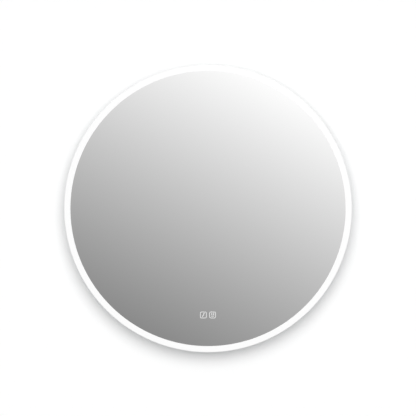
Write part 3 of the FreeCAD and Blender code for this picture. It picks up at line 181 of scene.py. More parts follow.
def metal(name, colour, roughness, grain=1.0, lift=0.01, **more):
    """A bare or plated metal. Metallic 1 tints its reflections with its own colour."""
    return lay_grain(*start_finish(name, Metallic=1.0), colour, roughness, grain, lift, **more)


# %% [markdown]
# ## Aluminium, steel and brass
# An extruded rail shows fine lines along its length, where the die scored it. The ring is the same
# aluminium rolled into a hoop, then etched and anodised, which leaves a satin skin with soft lines
# that run round it. Screws are zinc plated, which is a bright, slightly blue white with small
# mottles. Real die lines are a tenth of a millimetre apart, too fine to show, so they are drawn 1.5
# to 2 mm apart.

# %% Metal finishes
anodised_ring = metal("anodised_aluminium_ring", "DADCDE", 0.30, grain=1.6, lift=0.012,
                      run=(120, 1, 120), shift=0.06)
mill_rail = metal("mill_finish_aluminium", "D8DADB", 0.24, grain=1.5, lift=0.015,
                  run=(150, 1, 1), shift=0.08)
rivet_metal = metal("tumbled_aluminium", "CBCDCE", 0.36, grain=0.8, lift=0.01)
zinc_steel = metal("zinc_plated_steel", "D3D8DC", 0.22, grain=1.0, lift=0.008, mottle=6, shift=0.08)
joiner_metal = metal("zinc_die_casting", "A9ACAE", 0.42, grain=0.9, lift=0.02)
clamp_brass = metal("rolled_brass", "CDB26A", 0.28, grain=1.2, lift=0.01, run=(1, 1, 20))
tinned_copper = metal("tinned_copper", "C8C6BF", 0.27, grain=1.0, lift=0.01)
copper_foil = metal("etched_copper_foil", "C98A62", 0.35, grain=0.7, lift=0.005)
heater_foil = metal("etched_aluminium_foil", "BFC1C2", 0.38, grain=0.8, lift=0.005)
print(len(bpy.data.materials), "metals")

# %% [markdown]
# ## Galvanised steel
# The back plate is cut from hot-dip galvanised sheet. As the zinc freezes it grows flat crystals a
# centimetre or so wide, called spangle. Each crystal lies at its own slight slant, so it catches
# the light differently from the next one, and it has fine ribs that run its own way, like frost on
# a window. A Voronoi texture splits the sheet into cells. Each cell's random colour picks its
# slant, its grey, its gloss and the angle by which the rib pattern is turned.


# %% The spangled sheet
def galvanised(name, spangle, rib, slant):
    """Hot-dip galvanised sheet: crystals spangle mm wide, ribs rib mm apart, leaning by slant."""
    bend, rib_long = spangle * 0.22, rib * 7
    finish, shader = start_finish(name, Metallic=1.0)
    place = add_node(finish, "ShaderNodeTexCoord").outputs["Object"]
    wander = add_node(finish, "ShaderNodeTexNoise", {
        "Vector": place, "Scale": 1 / (spangle * 0.5 * MM), "Detail": 3.0}).outputs["Color"]
    edge = add_node(finish, "ShaderNodeVectorMath", {
        0: wander, 1: (bend * MM,) * 3}, operation="MULTIPLY").outputs[0]
    bent = add_node(finish, "ShaderNodeVectorMath", {
        0: place, 1: edge}, operation="ADD").outputs[0]
    cells = add_node(finish, "ShaderNodeTexVoronoi", {
        "Vector": bent, "Scale": 1 / (spangle * MM)}).outputs["Color"]
    crystal = add_node(finish, "ShaderNodeSeparateColor", {0: cells}).outputs
    angle = reckon(finish, "MULTIPLY", crystal["Blue"], math.tau)
    turned = add_node(finish, "ShaderNodeVectorRotate", {
        "Vector": place, "Angle": angle}, rotation_type="Y_AXIS").outputs[0]
    drawn = add_node(finish, "ShaderNodeMapping", {
        "Vector": turned,
        "Scale": (1 / (rib * MM), 1 / (rib * MM), 1 / (rib_long * MM))}).outputs[0]
    ribs = add_node(finish, "ShaderNodeTexNoise", {
        "Vector": drawn, "Scale": 1.0, "Detail": 2.0}).outputs["Fac"]
    tone = reckon(finish, "MULTIPLY_ADD", ribs, 0.6, crystal["Red"])
    part = add_node(finish, "ShaderNodeMapRange", {
        "Value": tone, "From Min": 0.1, "From Max": 1.5}).outputs["Result"]
    grey = blend(finish, part, linear("ABB1B5"), linear("C9CED0"))
    gloss = add_node(finish, "ShaderNodeMapRange", {
        "Value": crystal["Green"], "To Min": 0.28, "To Max": 0.42}).outputs["Result"]
    lifted = add_node(finish, "ShaderNodeBump", {
        "Height": ribs, "Distance": 0.01 * MM}).outputs["Normal"]
    lean = add_node(finish, "ShaderNodeVectorMath", {
        0: cells, 1: (slant,) * 3, 2: (-slant / 2,) * 3}, operation="MULTIPLY_ADD").outputs[0]
    slanted = add_node(finish, "ShaderNodeVectorMath", {
        0: lifted, 1: lean}, operation="ADD").outputs[0]
    level = add_node(finish, "ShaderNodeVectorMath", {0: slanted}, operation="NORMALIZE").outputs[0]
    feed(finish, shader, Base_Color=grey, Roughness=gloss, Normal=level)
    return finish


galvanised_sheet = galvanised("galvanised_steel_sheet", spangle=12, rib=1.4, slant=0.25)

# %% [markdown]
# ## Plastics and rubber
# Box and cover are moulded in white ABS, the terminal block in milky nylon, the driver's case in a
# flame-proof white polycarbonate blend, and the grommets and bumpers in black rubber with a dull
# bloom. They differ mostly in colour, gloss and refractive index, so one recipe with other numbers
# serves them all.

# %% Moulded finishes
box_plastic = moulded("moulded_white_abs", "E4E5E2", 0.46, 1.54, grain=1.4, lift=0.04)
driver_plastic = moulded("moulded_polycarbonate_blend", "DADCDB", 0.38, 1.58)
nylon = moulded("moulded_natural_nylon", "DEDBCF", 0.34, 1.53)
black_rubber = moulded("moulded_black_rubber", "1F2021", 0.68, 1.52, grain=1.0, lift=0.05,
                       shift=0.15)
switch_plastic = moulded("moulded_black_abs", "242527", 0.42, 1.54)
connector_plastic = moulded("moulded_white_polyester", "ECEBE4", 0.35, 1.57)
strip_board = moulded("white_lacquered_strip", "EFEFEA", 0.40, 1.50, grain=0.6, lift=0.01)
capacitor_sleeve = moulded("shrunk_pvc_sleeve", "2B2F3A", 0.26, 1.54, grain=2.0, lift=0.01)
winding_tape = moulded("yellow_polyester_tape", "D9B23C", 0.30, 1.57, grain=1.8, lift=0.02,
                       run=(6, 1, 6))
ferrite = moulded("sintered_ferrite", "3A3A3C", 0.62, 2.20, grain=0.7, lift=0.03)
circuit_board = moulded("green_lacquered_glass_board", "2F6B4A", 0.33, 1.55, grain=0.9, lift=0.02,
                        shift=0.14)
heater_film = moulded("clear_polyester_film", "C9C6BB", 0.22, 1.57, grain=3.0, lift=0.01)
foam_tape = moulded("white_acrylic_foam", "E6E4DD", 0.72, 1.49, grain=0.8, lift=0.15)
brown_wire = moulded("brown_pvc", "5B3524", 0.36, 1.54, grain=3.0, lift=0.01)
blue_wire = moulded("blue_pvc", "2A63A8", 0.36, 1.54, grain=3.0, lift=0.01)
white_lead = moulded("white_silicone_lead", "E9E8E4", 0.44, 1.41, grain=3.0, lift=0.01)
print(len(bpy.data.materials), "finishes so far")

# %% [markdown]
# ## Finishes that let light in
# Four surfaces are not just a skin. Opal acrylic and the silicone seal scatter light below the
# surface, acrylic light guides are clear, and the phosphor of the lamp chips is a yellow gel.
# Subsurface and transmission are set on the shader's own sockets, over the same grain recipe.

# %% Translucent finishes
opal_plastic = moulded("opal_acrylic", "F2F2EE", 0.42, 1.49, grain=1.0, lift=0.02)
clear_seal = moulded("clear_silicone_bead", "D5DAD8", 0.32, 1.41, grain=2.5, lift=0.03)
acrylic = moulded("clear_acrylic", "F4F6F6", 0.08, 1.49, grain=3.0, lift=0.005)
light_chip = moulded("yellow_phosphor_gel", "E8CF6B", 0.30, 1.50, grain=0.9, lift=0.01)
lets_light_in = {
    opal_plastic: ("Subsurface Weight", 0.4),
    clear_seal: ("Subsurface Weight", 0.3),
    acrylic: ("Transmission Weight", 0.9),
    light_chip: ("Subsurface Weight", 0.2),
}
for finish, (socket, share) in lets_light_in.items():
    finish.node_tree.nodes["Principled BSDF"].inputs[socket].default_value = share

# %% [markdown]
# ## The striped earth wire
# An earth wire is green with a yellow stripe that winds round it. A Wave texture in bands, laid
# aslant, draws the stripes, and a ramp with hard stops keeps their edges sharp. A green and a
# yellow stripe together are drawn about 7 mm across, which is 12 mm along a wire that runs with an
# axis.

# %% Green and yellow wire
earth_stripe, earth_shader = start_finish("green_and_yellow_pvc", IOR=1.54, Roughness=0.36)
earth_place = add_node(earth_stripe, "ShaderNodeTexCoord").outputs["Object"]
# Straight bands repeat about 3.2 times per unit of scale. Laid aslant, one is twice as long on
# an axis.
BAND, BANDS_PER_UNIT = 6 * MM, 3.2
earth_bands = add_node(earth_stripe, "ShaderNodeTexWave", {
    "Vector": earth_place, "Scale": 1 / BAND / BANDS_PER_UNIT, "Distortion": 0.4},
    wave_type="BANDS", bands_direction="DIAGONAL")
earth_ramp = add_node(earth_stripe, "ShaderNodeValToRGB", {"Fac": earth_bands.outputs["Fac"]})
for stop, position, colour in zip(earth_ramp.color_ramp.elements, (0.48, 0.52),
                                  ("2E7D3E", "E3D33B")):
    stop.position, stop.color = position, linear(colour)
feed(earth_stripe, earth_shader, Base_Color=earth_ramp.outputs["Color"])

# %% [markdown]
# ## Dress the CAD nodes
# A CAD node keeps its mesh and only gets its material slot filled. The list pairs each finish with
# the nodes that wear it. What is left at the end are the glass and its silver, which one new piece
# replaces.

# %% Which node wears which finish
worn_by = {
    anodised_ring: ["ring_profile"],
    mill_rail: ["wall_rail", "hanger_rail"],
    rivet_metal: ["hanger_rivets"],
    galvanised_sheet: ["back_plate"],
    joiner_metal: ["ring_joiner"],
    zinc_steel: ["back_plate_screws", "block_screws", "box_screws", "cover_screws", "driver_screws",
                 "earth_nut", "earth_stud", "earth_washer", "joiner_screws", "terminal_screws"],
    clamp_brass: ["terminal_clamps"],
    tinned_copper: ["earth_tag"],
    copper_foil: ["touch_electrodes"],
    heater_foil: ["defogger_track"],
    box_plastic: ["wiring_box", "wiring_cover"],
    driver_plastic: ["driver_case", "driver_lid"],
    nylon: ["terminal_block", "lead_saddles"],
    black_rubber: ["cable_grommet", "lead_grommet", "wall_bumpers"],
    switch_plastic: ["switch_housing"],
    connector_plastic: ["defogger_terminal", "driver_terminals", "switch_connectors"],
    strip_board: ["chip_strip"],
    capacitor_sleeve: ["driver_capacitors"],
    winding_tape: ["transformer_coil"],
    ferrite: ["transformer_core"],
    circuit_board: ["driver_board", "switch_board"],
    heater_film: ["defogger_film"],
    foam_tape: ["bonding_tape"],
    brown_wire: ["live_wire"],
    blue_wire: ["neutral_wire"],
    earth_stripe: ["earth_wire"],
    white_lead: ["heat_lead", "light_lead", "supply_lead"],
    opal_plastic: ["diffuser_ring"],
    clear_seal: ["edge_seal"],
    acrylic: ["icon_light_guides"],
    light_chip: ["icon_lamps", "light_chips"],
}
for finish, names in worn_by.items():
    for name in names:
        slots = nodes[name].data.materials
        slots.clear()
        slots.append(finish)
dressed = {name for names in worn_by.values() for name in names}
print("left for new pieces:", sorted(set(nodes) - dressed))

# %% [markdown]
# ## The mirror's own finishes
# A mirror is glass with a bright silver coat on its back. The coat is metal with almost no
# roughness, and the glass over it is a clear coat with an index of 1.52. Round the rim the coat is
# taken off by a sand jet, which leaves a fine frosted skin, and the lamps behind make it glow an
# even white. The edge of float glass is cut, ground and polished, and looks pale green because the
# light travels a long way inside it.

# %% Silver, frosted rim and glass edge
silvered, silver_shader = start_finish(
    "silvered_float_glass", Base_Color=linear("FAFAFA"), Metallic=1.0,
    Coat_Weight=1.0, Coat_Roughness=0.0, Coat_IOR=1.52)
silver_place = add_node(silvered, "ShaderNodeTexCoord").outputs["Object"]
# Float glass has a slow waviness, a hand's width long. Here it only shifts the gloss a little.
silver_wave = add_node(silvered, "ShaderNodeTexNoise", {
    "Vector": silver_place, "Scale": 1 / (90 * MM), "Detail": 1.0}).outputs["Fac"]
silver_haze = add_node(silvered, "ShaderNodeMapRange", {
    "Value": silver_wave, "To Min": 0.0, "To Max": 0.012}).outputs["Result"]
feed(silvered, silver_shader, Roughness=silver_haze)

frosted, frosted_shader = start_finish(
    "sandblasted_lit_glass", Base_Color=linear("ABABAB"), Emission_Strength=0.56,
    Coat_Weight=1.0, Coat_Roughness=0.02, Coat_IOR=1.52)
frosted_place = add_node(frosted, "ShaderNodeTexCoord").outputs["Object"]
# The jet's grit leaves pits of a fifth of a millimetre, drawn at 1 mm so that they show.
frosted_pits = add_node(frosted, "ShaderNodeTexNoise", {
    "Vector": frosted_place, "Scale": 1 / (1.0 * MM), "Detail": 2.0}).outputs["Fac"]
frosted_gloss = add_node(frosted, "ShaderNodeMapRange", {
    "Value": frosted_pits, "To Min": 0.45, "To Max": 0.65}).outputs["Result"]
frosted_glow = blend(frosted, frosted_pits, linear("F9F9F9"), linear("FFFFFF"))
feed(frosted, frosted_shader, Roughness=frosted_gloss, Emission_Color=frosted_glow)

glass_edge = moulded("ground_float_glass_edge", "A8C9BC", 0.20, 1.52, grain=1.5, lift=0.002,
                     run=(20, 1, 20))
glass_back = moulded("mirror_backing_paint", "7F8486", 0.5, 1.5, grain=2.0, lift=0.02)

lit_sign, sign_shader = start_finish(
    "lit_sign_glass", Base_Color=linear("929292"), Roughness=0.35, IOR=1.52,
    Emission_Strength=0.50)
sign_place = add_node(lit_sign, "ShaderNodeTexCoord").outputs["Object"]
sign_grain = add_node(lit_sign, "ShaderNodeTexNoise", {
    "Vector": sign_place, "Scale": 1 / (0.8 * MM)}).outputs["Fac"]
sign_glow = blend(lit_sign, sign_grain, linear("F1F1F1"), linear("FFFFFF"))
feed(lit_sign, sign_shader, Emission_Color=sign_glow)

# %% [markdown]
# ## Helpers for modelling by hand
# Round pieces here start as a filled circle that faces the room or the wall. In edit mode its rim
# is extruded and scaled ring by ring, as a person does with E and S, so the outline reads as a list
# of radii and depths. Each piece has its place in its mesh before it is finished. Then its normals
# are recalculated and it rides with its body.


# %% Modelling helpers
ROUND = 24
MERGE_WITHIN = 1e-6
FLUSH = 1e-7
SMOOTH_UNDER = math.radians(30)


def edit():
    """Go into edit mode with everything selected."""
    bpy.ops.object.mode_set(mode="EDIT")
    bpy.ops.mesh.select_all(action="SELECT")


def pick(pieces):
    """Select these pieces and nothing else, with the first one active."""
    bpy.ops.object.select_all(action="DESELECT")
    for piece in pieces:
        piece.select_set(True)
    bpy.context.view_layer.objects.active = pieces[0]


def join_as(name, pieces):
    """Join pieces into one with this name."""
    pick(pieces)
    bpy.ops.object.join()
    pieces[0].name = pieces[0].data.name = name
    return pieces[0]


def start_disc(name, centre, radius, corners=ROUND):
    """A filled circle across the Y axis, with its place already in its mesh."""
    bpy.ops.object.select_all(action="DESELECT")
    bpy.ops.mesh.primitive_circle_add(vertices=corners, radius=radius, fill_type="NGON",
                                      location=centre, rotation=(math.radians(90), 0, 0))
    bpy.ops.object.transform_apply(location=True, rotation=True, scale=True)
    piece = bpy.context.object
    piece.name = piece.data.name = name
    return piece


def carry(centre, rim, rings):
    """Extrude the selected faces through rings of (radius, depth) about the Y axis at centre."""
    radius, depth = rim
    for wider, deeper in rings:
        bpy.ops.mesh.extrude_region_move(TRANSFORM_OT_translate={"value": (0, deeper - depth, 0)})
        share = wider / radius
        bpy.ops.transform.resize(value=(share, 1, share),
                                 center_override=(centre[0], deeper, centre[2]))
        radius, depth = wider, deeper


def close_up(piece, body, finish):
    """Face the mesh outwards, smooth its gentle edges, and let the piece ride on its body."""
    edit()
    bpy.ops.mesh.remove_doubles(threshold=MERGE_WITHIN)
    bpy.ops.mesh.normals_make_consistent(inside=False)
    bpy.ops.object.mode_set(mode="OBJECT")
    bpy.ops.object.shade_smooth_by_angle(angle=SMOOTH_UNDER)
    if finish:
        piece.data.materials.append(finish)
    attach(piece, body)
    print(piece.name, len(piece.data.polygons), "faces")


# %% [markdown]
# ## The glass
# The pane is one turned outline: the silvered face, the frosted band, the small ground arris that
# keeps the edge from cutting a hand, the edge itself, and the back. Each zone of faces gets its own
# material, chosen by its distance from the middle and its depth. The front arris is frosted and lit
# like the band. The piece stands for two CAD nodes, the glass and its silver coat.

# %% Mirror pane
ARRIS = 0.8 * MM
PANE_CORNERS = 256
face_centre = (middle.x, pane_front, middle.z)
pane = start_disc("mirror_pane", face_centre, silver_radius, PANE_CORNERS)
edit()
carry(face_centre, (silver_radius, pane_front), [
    (glass_radius - ARRIS, pane_front), (glass_radius, pane_front + ARRIS),
    (glass_radius, glass_rear - ARRIS), (glass_radius - ARRIS, glass_rear)])
close_up(pane, "mirror", None)
for finish in (silvered, frosted, glass_edge, glass_back):
    pane.data.materials.append(finish)
FROSTED, EDGE, BACK = 1, 2, 3
for face in pane.data.polygons:
    away = math.hypot(face.center.x - middle.x, face.center.z - middle.z)
    if face.center.y > glass_rear - ARRIS / 4:
        face.material_index = BACK
    elif face.center.y > pane_front + ARRIS:
        face.material_index = EDGE
    elif away > silver_radius:
        face.material_index = FROSTED
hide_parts("mirror_glass", "silvering")

# %% [markdown]
# ## The two touch signs
# The signs are lines where the silver was taken off, lit from behind. Each is a rounded square 13.8
# mm wide with a generic mark in it: a slanted stroke for the light, and two wavy lines over a bar
# for the heater that clears mist. The frames start as planes whose corners are bevelled and whose
# faces are inset. The strokes are short NURBS paths with a round section, pressed flat. They stand
# 0.03 mm proud of the glass.

# %% Frames and strokes of the signs
SIGN_WIDE, SIGN_CORNER = 13.8 * MM, 3 * MM
LINE_WIDE, LIGHT_LINE_WIDE = 1.3 * MM, 1.7 * MM
SIGN_DROP, SIGN_ASIDE = 222 * MM, 9.6 * MM
sign_height = middle.z - SIGN_DROP
sign_places = {"light": middle.x - SIGN_ASIDE, "heater": middle.x + SIGN_ASIDE}
sign_parts = []


def flatten_sign(piece):
    """Press a piece of a sign to the signs' thickness at the glass front."""
    depths = [v.co.y for v in piece.data.vertices]
    nearest, thick = min(depths), max(depths) - min(depths)
    for v in piece.data.vertices:
        share = (v.co.y - nearest) / thick
        v.co.y = glass_front + share * 2 * SIGN_PROUD
    sign_parts.append(piece)


def sign_stroke(sign, marks, wide=LINE_WIDE):
    """A flat stroke through five marks, given in millimetres from the middle of a sign."""
    bpy.ops.object.select_all(action="DESELECT")
    bpy.ops.curve.primitive_nurbs_path_add()
    path = bpy.context.object
    path.data.bevel_depth, path.data.bevel_resolution = wide / 2, 2
    path.data.resolution_u, path.data.use_fill_caps = 4, True
    spline = path.data.splines[0]
    for point, (right, up) in zip(spline.points, marks):
        point.co = (sign_places[sign] + right * MM, glass_front, sign_height + up * MM, 1)
    spline.order_u, spline.use_endpoint_u = 3, True
    bpy.ops.object.convert(target="MESH")
    flatten_sign(bpy.context.object)


for across in sign_places.values():
    bpy.ops.object.select_all(action="DESELECT")
    bpy.ops.mesh.primitive_plane_add(size=SIGN_WIDE, location=(across, glass_front, sign_height),
                                     rotation=(math.radians(90), 0, 0))
    bpy.ops.object.transform_apply(location=True, rotation=True, scale=True)
    edit()
    bpy.ops.mesh.bevel(offset=SIGN_CORNER, offset_type="OFFSET", segments=5, affect="VERTICES")
    bpy.ops.mesh.select_all(action="SELECT")
    bpy.ops.mesh.inset(thickness=LINE_WIDE)
    bpy.ops.mesh.delete(type="FACE")
    bpy.ops.mesh.select_all(action="SELECT")
    bpy.ops.mesh.extrude_region_move(TRANSFORM_OT_translate={"value": (0, SIGN_PROUD, 0)})
    bpy.ops.object.mode_set(mode="OBJECT")
    flatten_sign(bpy.context.object)

# %% Marks of the signs
sign_stroke("light", [(2.2, 4.4), (0.4, 2.2), (0.9, 0.2), (-1.2, -1.2), (-2.0, -4.0)],
            wide=LIGHT_LINE_WIDE)
SWING = 1.1
# Each wave's sharp bend makes its stroke overlap itself in a sliver, inside its own outline.
for side in (-2.0, 2.0):
    sign_stroke("heater", [(side, 4.4), (side + SWING, 3.2), (side - SWING, 1.8),
                           (side + SWING, 0.4), (side, -0.6)])
sign_stroke("heater", [(1.5 * step, -2.6) for step in range(-2, 3)])

# %% Join the signs
signs = join_as("touch_signs", sign_parts)
signs.data.materials.clear()
close_up(signs, "mirror", lit_sign)

# %% [markdown]
# ## Screws that hold the back
# The rim, the wiring cover and the wiring box are held by the same pan-head screws. One is turned:
# its flat seat, its short wall and its low dome, then its shank. The cross for the driver is cut
# with a Boolean modifier by two tapered bars. The copies each get their own mesh, and one piece per
# row of screws replaces the CAD node.

# %% One pan-head screw
HEAD, SHANK, HEAD_HIGH = 3.5 * MM, 1.6 * MM, 2.2 * MM
CROSS_TAPER = 0.45


def cross_cutter(top, reach, wide, deep):
    """Two bars crossing, thinner at the bottom, sunk deep below top along Y."""
    bars = []
    for turn in (0, 90):
        bpy.ops.object.select_all(action="DESELECT")
        bpy.ops.mesh.primitive_cube_add(size=1, location=(0, top, 0))
        bar = bpy.context.object
        bar.scale = (reach, deep * 2, wide)
        bar.rotation_euler = (0, math.radians(turn), 0)
        bpy.ops.object.transform_apply(location=True, rotation=True, scale=True)
        bars.append(bar)
    for bar in bars:
        for v in bar.data.vertices:
            if v.co.y < top:
                v.co.x, v.co.z = v.co.x * CROSS_TAPER, v.co.z * CROSS_TAPER
    return bars


def cut_away(piece, cutter):
    """Subtract one solid from another with a Boolean modifier, and apply it."""
    pick([piece])
    boolean = piece.modifiers.new("cut", "BOOLEAN")
    boolean.operation, boolean.object, boolean.solver = "DIFFERENCE", cutter, "EXACT"
    bpy.ops.object.modifier_apply(modifier="cut")
    bpy.data.objects.remove(cutter)


def turned_screw(name, shank_long):
    """A pan-head screw on the Y axis, its seat at y = 0, its head towards the wall."""
    screw = start_disc(name, (0, 0, 0), HEAD)
    edit()
    carry((0, 0, 0), (HEAD, 0), [(HEAD, HEAD_HIGH * 0.35), (HEAD * 0.95, HEAD_HIGH * 0.62),
                                 (HEAD * 0.80, HEAD_HIGH * 0.86), (HEAD * 0.52, HEAD_HIGH)])
    bpy.ops.mesh.select_all(action="DESELECT")
    bpy.ops.object.mode_set(mode="OBJECT")
    for face in screw.data.polygons:
        face.select = abs(face.center.y) < FLUSH and len(face.vertices) > 4
    bpy.ops.object.mode_set(mode="EDIT")
    bpy.ops.mesh.inset(thickness=HEAD - SHANK)
    carry((0, 0, 0), (SHANK, 0), [(SHANK, -shank_long * 0.8), (SHANK * 0.3, -shank_long)])
    bpy.ops.object.mode_set(mode="OBJECT")
    for bar in cross_cutter(HEAD_HIGH, HEAD * 1.15, HEAD * 0.26, HEAD_HIGH * 0.62):
        cut_away(screw, bar)
    return screw


def set_screws(name, node, seat, places, shank_long):
    """Copies of one screw, joined as one piece that stands for a CAD node.

    Each place is across, up, and a turn in radians, which keeps the cross recesses from lining up.
    """
    pattern = turned_screw(name, shank_long)
    row = []
    for x, z, turn in places:
        one = pattern.copy()
        one.data = pattern.data.copy()
        bpy.context.scene.collection.objects.link(one)
        one.rotation_euler = (0, turn, 0)
        one.location = (x, seat, z)
        row.append(one)
    bpy.data.objects.remove(pattern)
    pick(row)
    bpy.ops.object.transform_apply(location=True, rotation=True, scale=True)
    screws = join_as(name, row)
    close_up(screws, "mirror", zinc_steel)
    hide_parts(node)


# %% Rows of screws
PLATE_REAR, COVER_REAR = -6.6 * MM, -5.4 * MM
LONG_SHANK, SHORT_SHANK = 8 * MM, 6 * MM
RIM_SCREWS, RIM_CIRCLE = 12, 289.8 * MM
apart = 360 / RIM_SCREWS
rim_places = []
for step in range(RIM_SCREWS):
    angle = math.radians(apart / 2 + apart * step)
    rim_places.append((RIM_CIRCLE * math.sin(angle), middle.z + RIM_CIRCLE * math.cos(angle),
                       0.7 * step))
cover_places = [(x * MM, z * MM, x + z) for x in (42, 128) for z in (-128, -72)]
box_places = [(30 * MM, -100 * MM, 0.4), (140 * MM, -100 * MM, 1.1)]
set_screws("rim_screw_heads", "back_plate_screws", PLATE_REAR, rim_places, LONG_SHANK)
set_screws("cover_screw_heads", "cover_screws", COVER_REAR, cover_places, LONG_SHANK)
set_screws("box_screw_heads", "box_screws", PLATE_REAR, box_places, SHORT_SHANK)

# %% [markdown]
# ## Blind rivets of the hanger rail
# A blind rivet is pulled up from one side. Its low domed head keeps the broken end of its steel pin
# in a small well. The head is a turned outline again, and the pin is the last, innermost ring.

# %% Rivets
RIVET, RIVET_HIGH = 4 * MM, 1.2 * MM
RIVETS_ACROSS, RIVETS_UP = (-90, -30, 30, 90), 39 * MM
SHANK_SHARE = 0.6
rivet_low, rivet_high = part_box("hanger_rivets")
rivet_seat = rivet_high.y - RIVET_HIGH
rivets = []
for x in RIVETS_ACROSS:
    centre = (x * MM, rivet_seat, RIVETS_UP)
    rivet = start_disc("hanger_rivet_heads", centre, RIVET)
    edit()
    carry(centre, (RIVET, rivet_seat), [
        (RIVET, rivet_seat + 0.3 * RIVET_HIGH), (RIVET * 0.82, rivet_seat + 0.75 * RIVET_HIGH),
        (RIVET * 0.5, rivet_high.y), (RIVET * 0.38, rivet_high.y),
        (RIVET * 0.34, rivet_high.y - 0.6 * RIVET_HIGH),
        (RIVET * 0.30, rivet_high.y - 0.6 * RIVET_HIGH),
        (RIVET * 0.26, rivet_high.y - 0.3 * RIVET_HIGH)])
    bpy.ops.object.mode_set(mode="OBJECT")
    # Known fault: the pin's end is still selected here, so it is inset past its own middle and
    # carried down inside the shank with the seat. Deselecting all first, as turned_screw does,
    # should end it.
    for face in rivet.data.polygons:
        face.select = abs(face.center.y - rivet_seat) < FLUSH and len(face.vertices) > 4
    bpy.ops.object.mode_set(mode="EDIT")
    bpy.ops.mesh.inset(thickness=RIVET * (1 - SHANK_SHARE))
    carry(centre, (RIVET * SHANK_SHARE, rivet_seat), [
        (RIVET * SHANK_SHARE, rivet_low.y + 2 * MM), (RIVET * 0.8, rivet_low.y + MM),
        (RIVET * 0.5, rivet_low.y)])
    bpy.ops.object.mode_set(mode="OBJECT")
    rivets.append(rivet)
rivet_heads = join_as("hanger_rivet_heads", rivets)
close_up(rivet_heads, "mirror", rivet_metal)
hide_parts("hanger_rivets")

# %% [markdown]
# ## Wall and floor
# The photograph shows the mirror on a white wall with a soft shadow round its rim, deepest below.
# The wall is a plane just behind the rail, with a pale diffuse paint and no light of its own. The
# floor is a second plane, whose paint gives a little light. Both are clear from behind, so the back
# can be seen.


# %% The room
ROOM_WIDE, WALL_BEHIND, FLOOR_HEIGHT = 40, 0.5 * MM, -1.2


def room_plane(name, place, turn, paint, lift):
    """A large plane that only the camera sees, clear from behind, and never part of the object."""
    bpy.ops.object.select_all(action="DESELECT")
    bpy.ops.mesh.primitive_plane_add(size=ROOM_WIDE, location=place, rotation=turn)
    plane = bpy.context.object
    plane.name = plane.data.name = name
    finish = bpy.data.materials.new(name + "_paint")
    finish.use_nodes = True
    finish.node_tree.nodes.clear()
    rays = add_node(finish, "ShaderNodeLightPath").outputs
    seen = reckon(finish, "MAXIMUM", rays["Is Glossy Ray"], rays["Is Transmission Ray"])
    shown = reckon(finish, "MAXIMUM", seen, rays["Is Camera Ray"])
    glow = reckon(finish, "MULTIPLY", shown, lift)
    matt = add_node(finish, "ShaderNodeBsdfDiffuse", {"Color": linear(paint)}).outputs[0]
    white = add_node(finish, "ShaderNodeEmission", {
        "Color": (1, 1, 1, 1), "Strength": glow}).outputs[0]
    front = add_node(finish, "ShaderNodeAddShader", {0: matt, 1: white}).outputs[0]
    clear = add_node(finish, "ShaderNodeBsdfTransparent").outputs[0]
    side = add_node(finish, "ShaderNodeNewGeometry").outputs["Backfacing"]
    sided = add_node(finish, "ShaderNodeMixShader", {0: side, 1: front, 2: clear}).outputs[0]
    add_node(finish, "ShaderNodeOutputMaterial", {"Surface": sided})
    plane.data.materials.append(finish)
    plane.visible_shadow = plane.visible_diffuse = False
    plane.visible_glossy = plane.visible_transmission = False


room_plane("wall", (0, WALL_BEHIND, FLOOR_HEIGHT + ROOM_WIDE / 2), (math.radians(90), 0, 0),
           paint="F6F6F6", lift=0.0)
room_plane("floor", (0, 0, FLOOR_HEIGHT), (0, 0, 0), paint="D8D8D8", lift=0.60)

# %% [markdown]
# ## Light
# The main lamp is a very wide sun, almost straight in front and a little above, like a large soft
# box. It makes the shadow that is deep below the rim and thin above it. Two weaker suns light the
# back and sides. The world is even for the rough surfaces. What the mirror itself shows is a studio
# backdrop that fades from pale at the upper right to mid grey at the lower left, as in the
# photograph. Shiny pieces at the back reflect the backdrop's other side, one slow fade that is
# palest above and towards +X.

# %% Camera distance, which the backdrop's fade needs too
LENS, SENSOR = 200, 36
FRAME_WIDE = 0.8675
camera_away = FRAME_WIDE * LENS / SENSOR


# %% Lamps
def soft_sun(name, towards, strength, width):
    """A sun whose disc is width degrees wide. It isn't seen in the mirror."""
    lamp = bpy.data.lights.new(name, "SUN")
    lamp.energy, lamp.angle = strength, math.radians(width)
    sun = bpy.data.objects.new(name, lamp)
    sun.rotation_euler = Vector(towards).to_track_quat("-Z", "Y").to_euler()
    sun.visible_glossy = False
    bpy.context.scene.collection.objects.link(sun)


FRONT_TILT = math.radians(15.5)
soft_sun("front_soft_box", (0, math.cos(FRONT_TILT), -math.sin(FRONT_TILT)), strength=2.9, width=66)
soft_sun("rear_left_soft_box", (-0.75, -0.6, -0.45), strength=2.0, width=30)
soft_sun("rear_right_soft_box", (0.75, -0.6, -0.25), strength=1.3, width=40)

# %% World
# The fade's middle and swing are 8-bit levels, and the swing is per mirror radius. It levels off
# near FADE_END radii and turns back at FADE_REACH. The front's fade takes over from the back's
# between BACK_ENDS and FRONT_STARTS, the Y part of a direction. EVEN_LIGHT is for rough surfaces.
FADE_TOWARDS, FADE_MIDDLE, FADE_SWING = (0.47, 0, 0.883), 199.3, 62.4
FADE_END, FADE_EASE, FADE_REACH = 1.06, 0.15, 1.15
BACK_TOWARDS, BACK_MIDDLE, BACK_SWING = (0.55, 0.25, 0.80), 0.80, 0.26
BACK_ENDS, FRONT_STARTS = -0.25, -0.6
SCREEN_GAMMA, EVEN_LIGHT = 2.2, 0.20
world = bpy.data.worlds.new("studio")
bpy.context.scene.world = world
world.use_nodes = True
world.node_tree.nodes.clear()
world.cycles.sampling_method = "NONE"
towards = add_node(world, "ShaderNodeTexCoord").outputs["Generated"]
across = add_node(world, "ShaderNodeVectorMath", {
    0: towards, 1: FADE_TOWARDS}, operation="DOT_PRODUCT").outputs["Value"]
run = reckon(world, "MULTIPLY_ADD", across, camera_away / glass_radius, FADE_REACH)
folded = reckon(world, "PINGPONG", run, 2 * FADE_REACH)
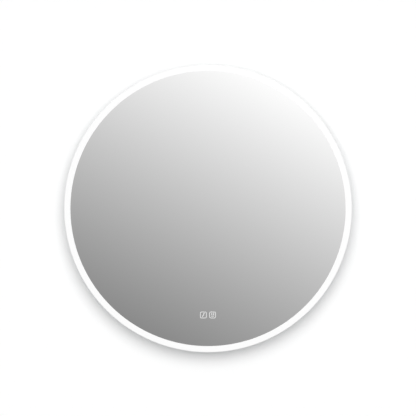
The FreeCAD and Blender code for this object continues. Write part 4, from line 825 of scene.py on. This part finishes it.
centred = reckon(world, "SUBTRACT", folded, FADE_REACH)
capped = reckon(world, "SMOOTH_MIN", centred, FADE_END, FADE_EASE)
floored = reckon(world, "SMOOTH_MAX", capped, -FADE_END, FADE_EASE)
front_level = reckon(world, "MULTIPLY_ADD", floored, FADE_SWING / 255, FADE_MIDDLE / 255)
parts = add_node(world, "ShaderNodeSeparateXYZ", {0: towards}).outputs
side_light = add_node(world, "ShaderNodeVectorMath", {
    0: towards, 1: BACK_TOWARDS}, operation="DOT_PRODUCT").outputs["Value"]
back_level = reckon(world, "MULTIPLY_ADD", side_light, BACK_SWING, BACK_MIDDLE)
facing = add_node(world, "ShaderNodeMapRange", {
    "Value": parts["Y"], "From Min": BACK_ENDS, "From Max": FRONT_STARTS},
    interpolation_type="SMOOTHSTEP").outputs["Result"]
level = add_node(world, "ShaderNodeMix", {
    "Factor": facing, 2: back_level, 3: front_level}).outputs[0]
backdrop = reckon(world, "POWER", level, SCREEN_GAMMA)
rays = add_node(world, "ShaderNodeLightPath").outputs
shiny = reckon(world, "MAXIMUM", rays["Is Glossy Ray"], rays["Is Transmission Ray"])
even = add_node(world, "ShaderNodeMix", {"Factor": shiny, 2: EVEN_LIGHT, 3: backdrop}).outputs[0]
seen = add_node(world, "ShaderNodeMix", {
    "Factor": rays["Is Camera Ray"], 2: even, 3: 1.0}).outputs[0]
sky = add_node(world, "ShaderNodeBackground", {"Color": (1, 1, 1, 1), "Strength": seen}).outputs[0]
add_node(world, "ShaderNodeOutputWorld", {"Surface": sky})

# %% [markdown]
# ## Camera
# The photograph looks straight at the glass, with a long lens and no visible perspective. The
# mirror's middle sits half a pixel below the frame's middle, and the frame is 0.8675 m wide at the
# glass.

# %% Camera
CAMERA_UP = 0.00104
camera_lens = bpy.data.cameras.new("photo_camera")
camera_lens.lens, camera_lens.sensor_width = LENS, SENSOR
camera = bpy.data.objects.new("photo_camera", camera_lens)
camera.location = (middle.x, glass_front - camera_away, middle.z + CAMERA_UP)
camera.rotation_euler = (math.radians(90), 0, 0)
bpy.context.scene.collection.objects.link(camera)
bpy.context.scene.camera = camera
bpy.context.scene.view_settings.view_transform = "Standard"
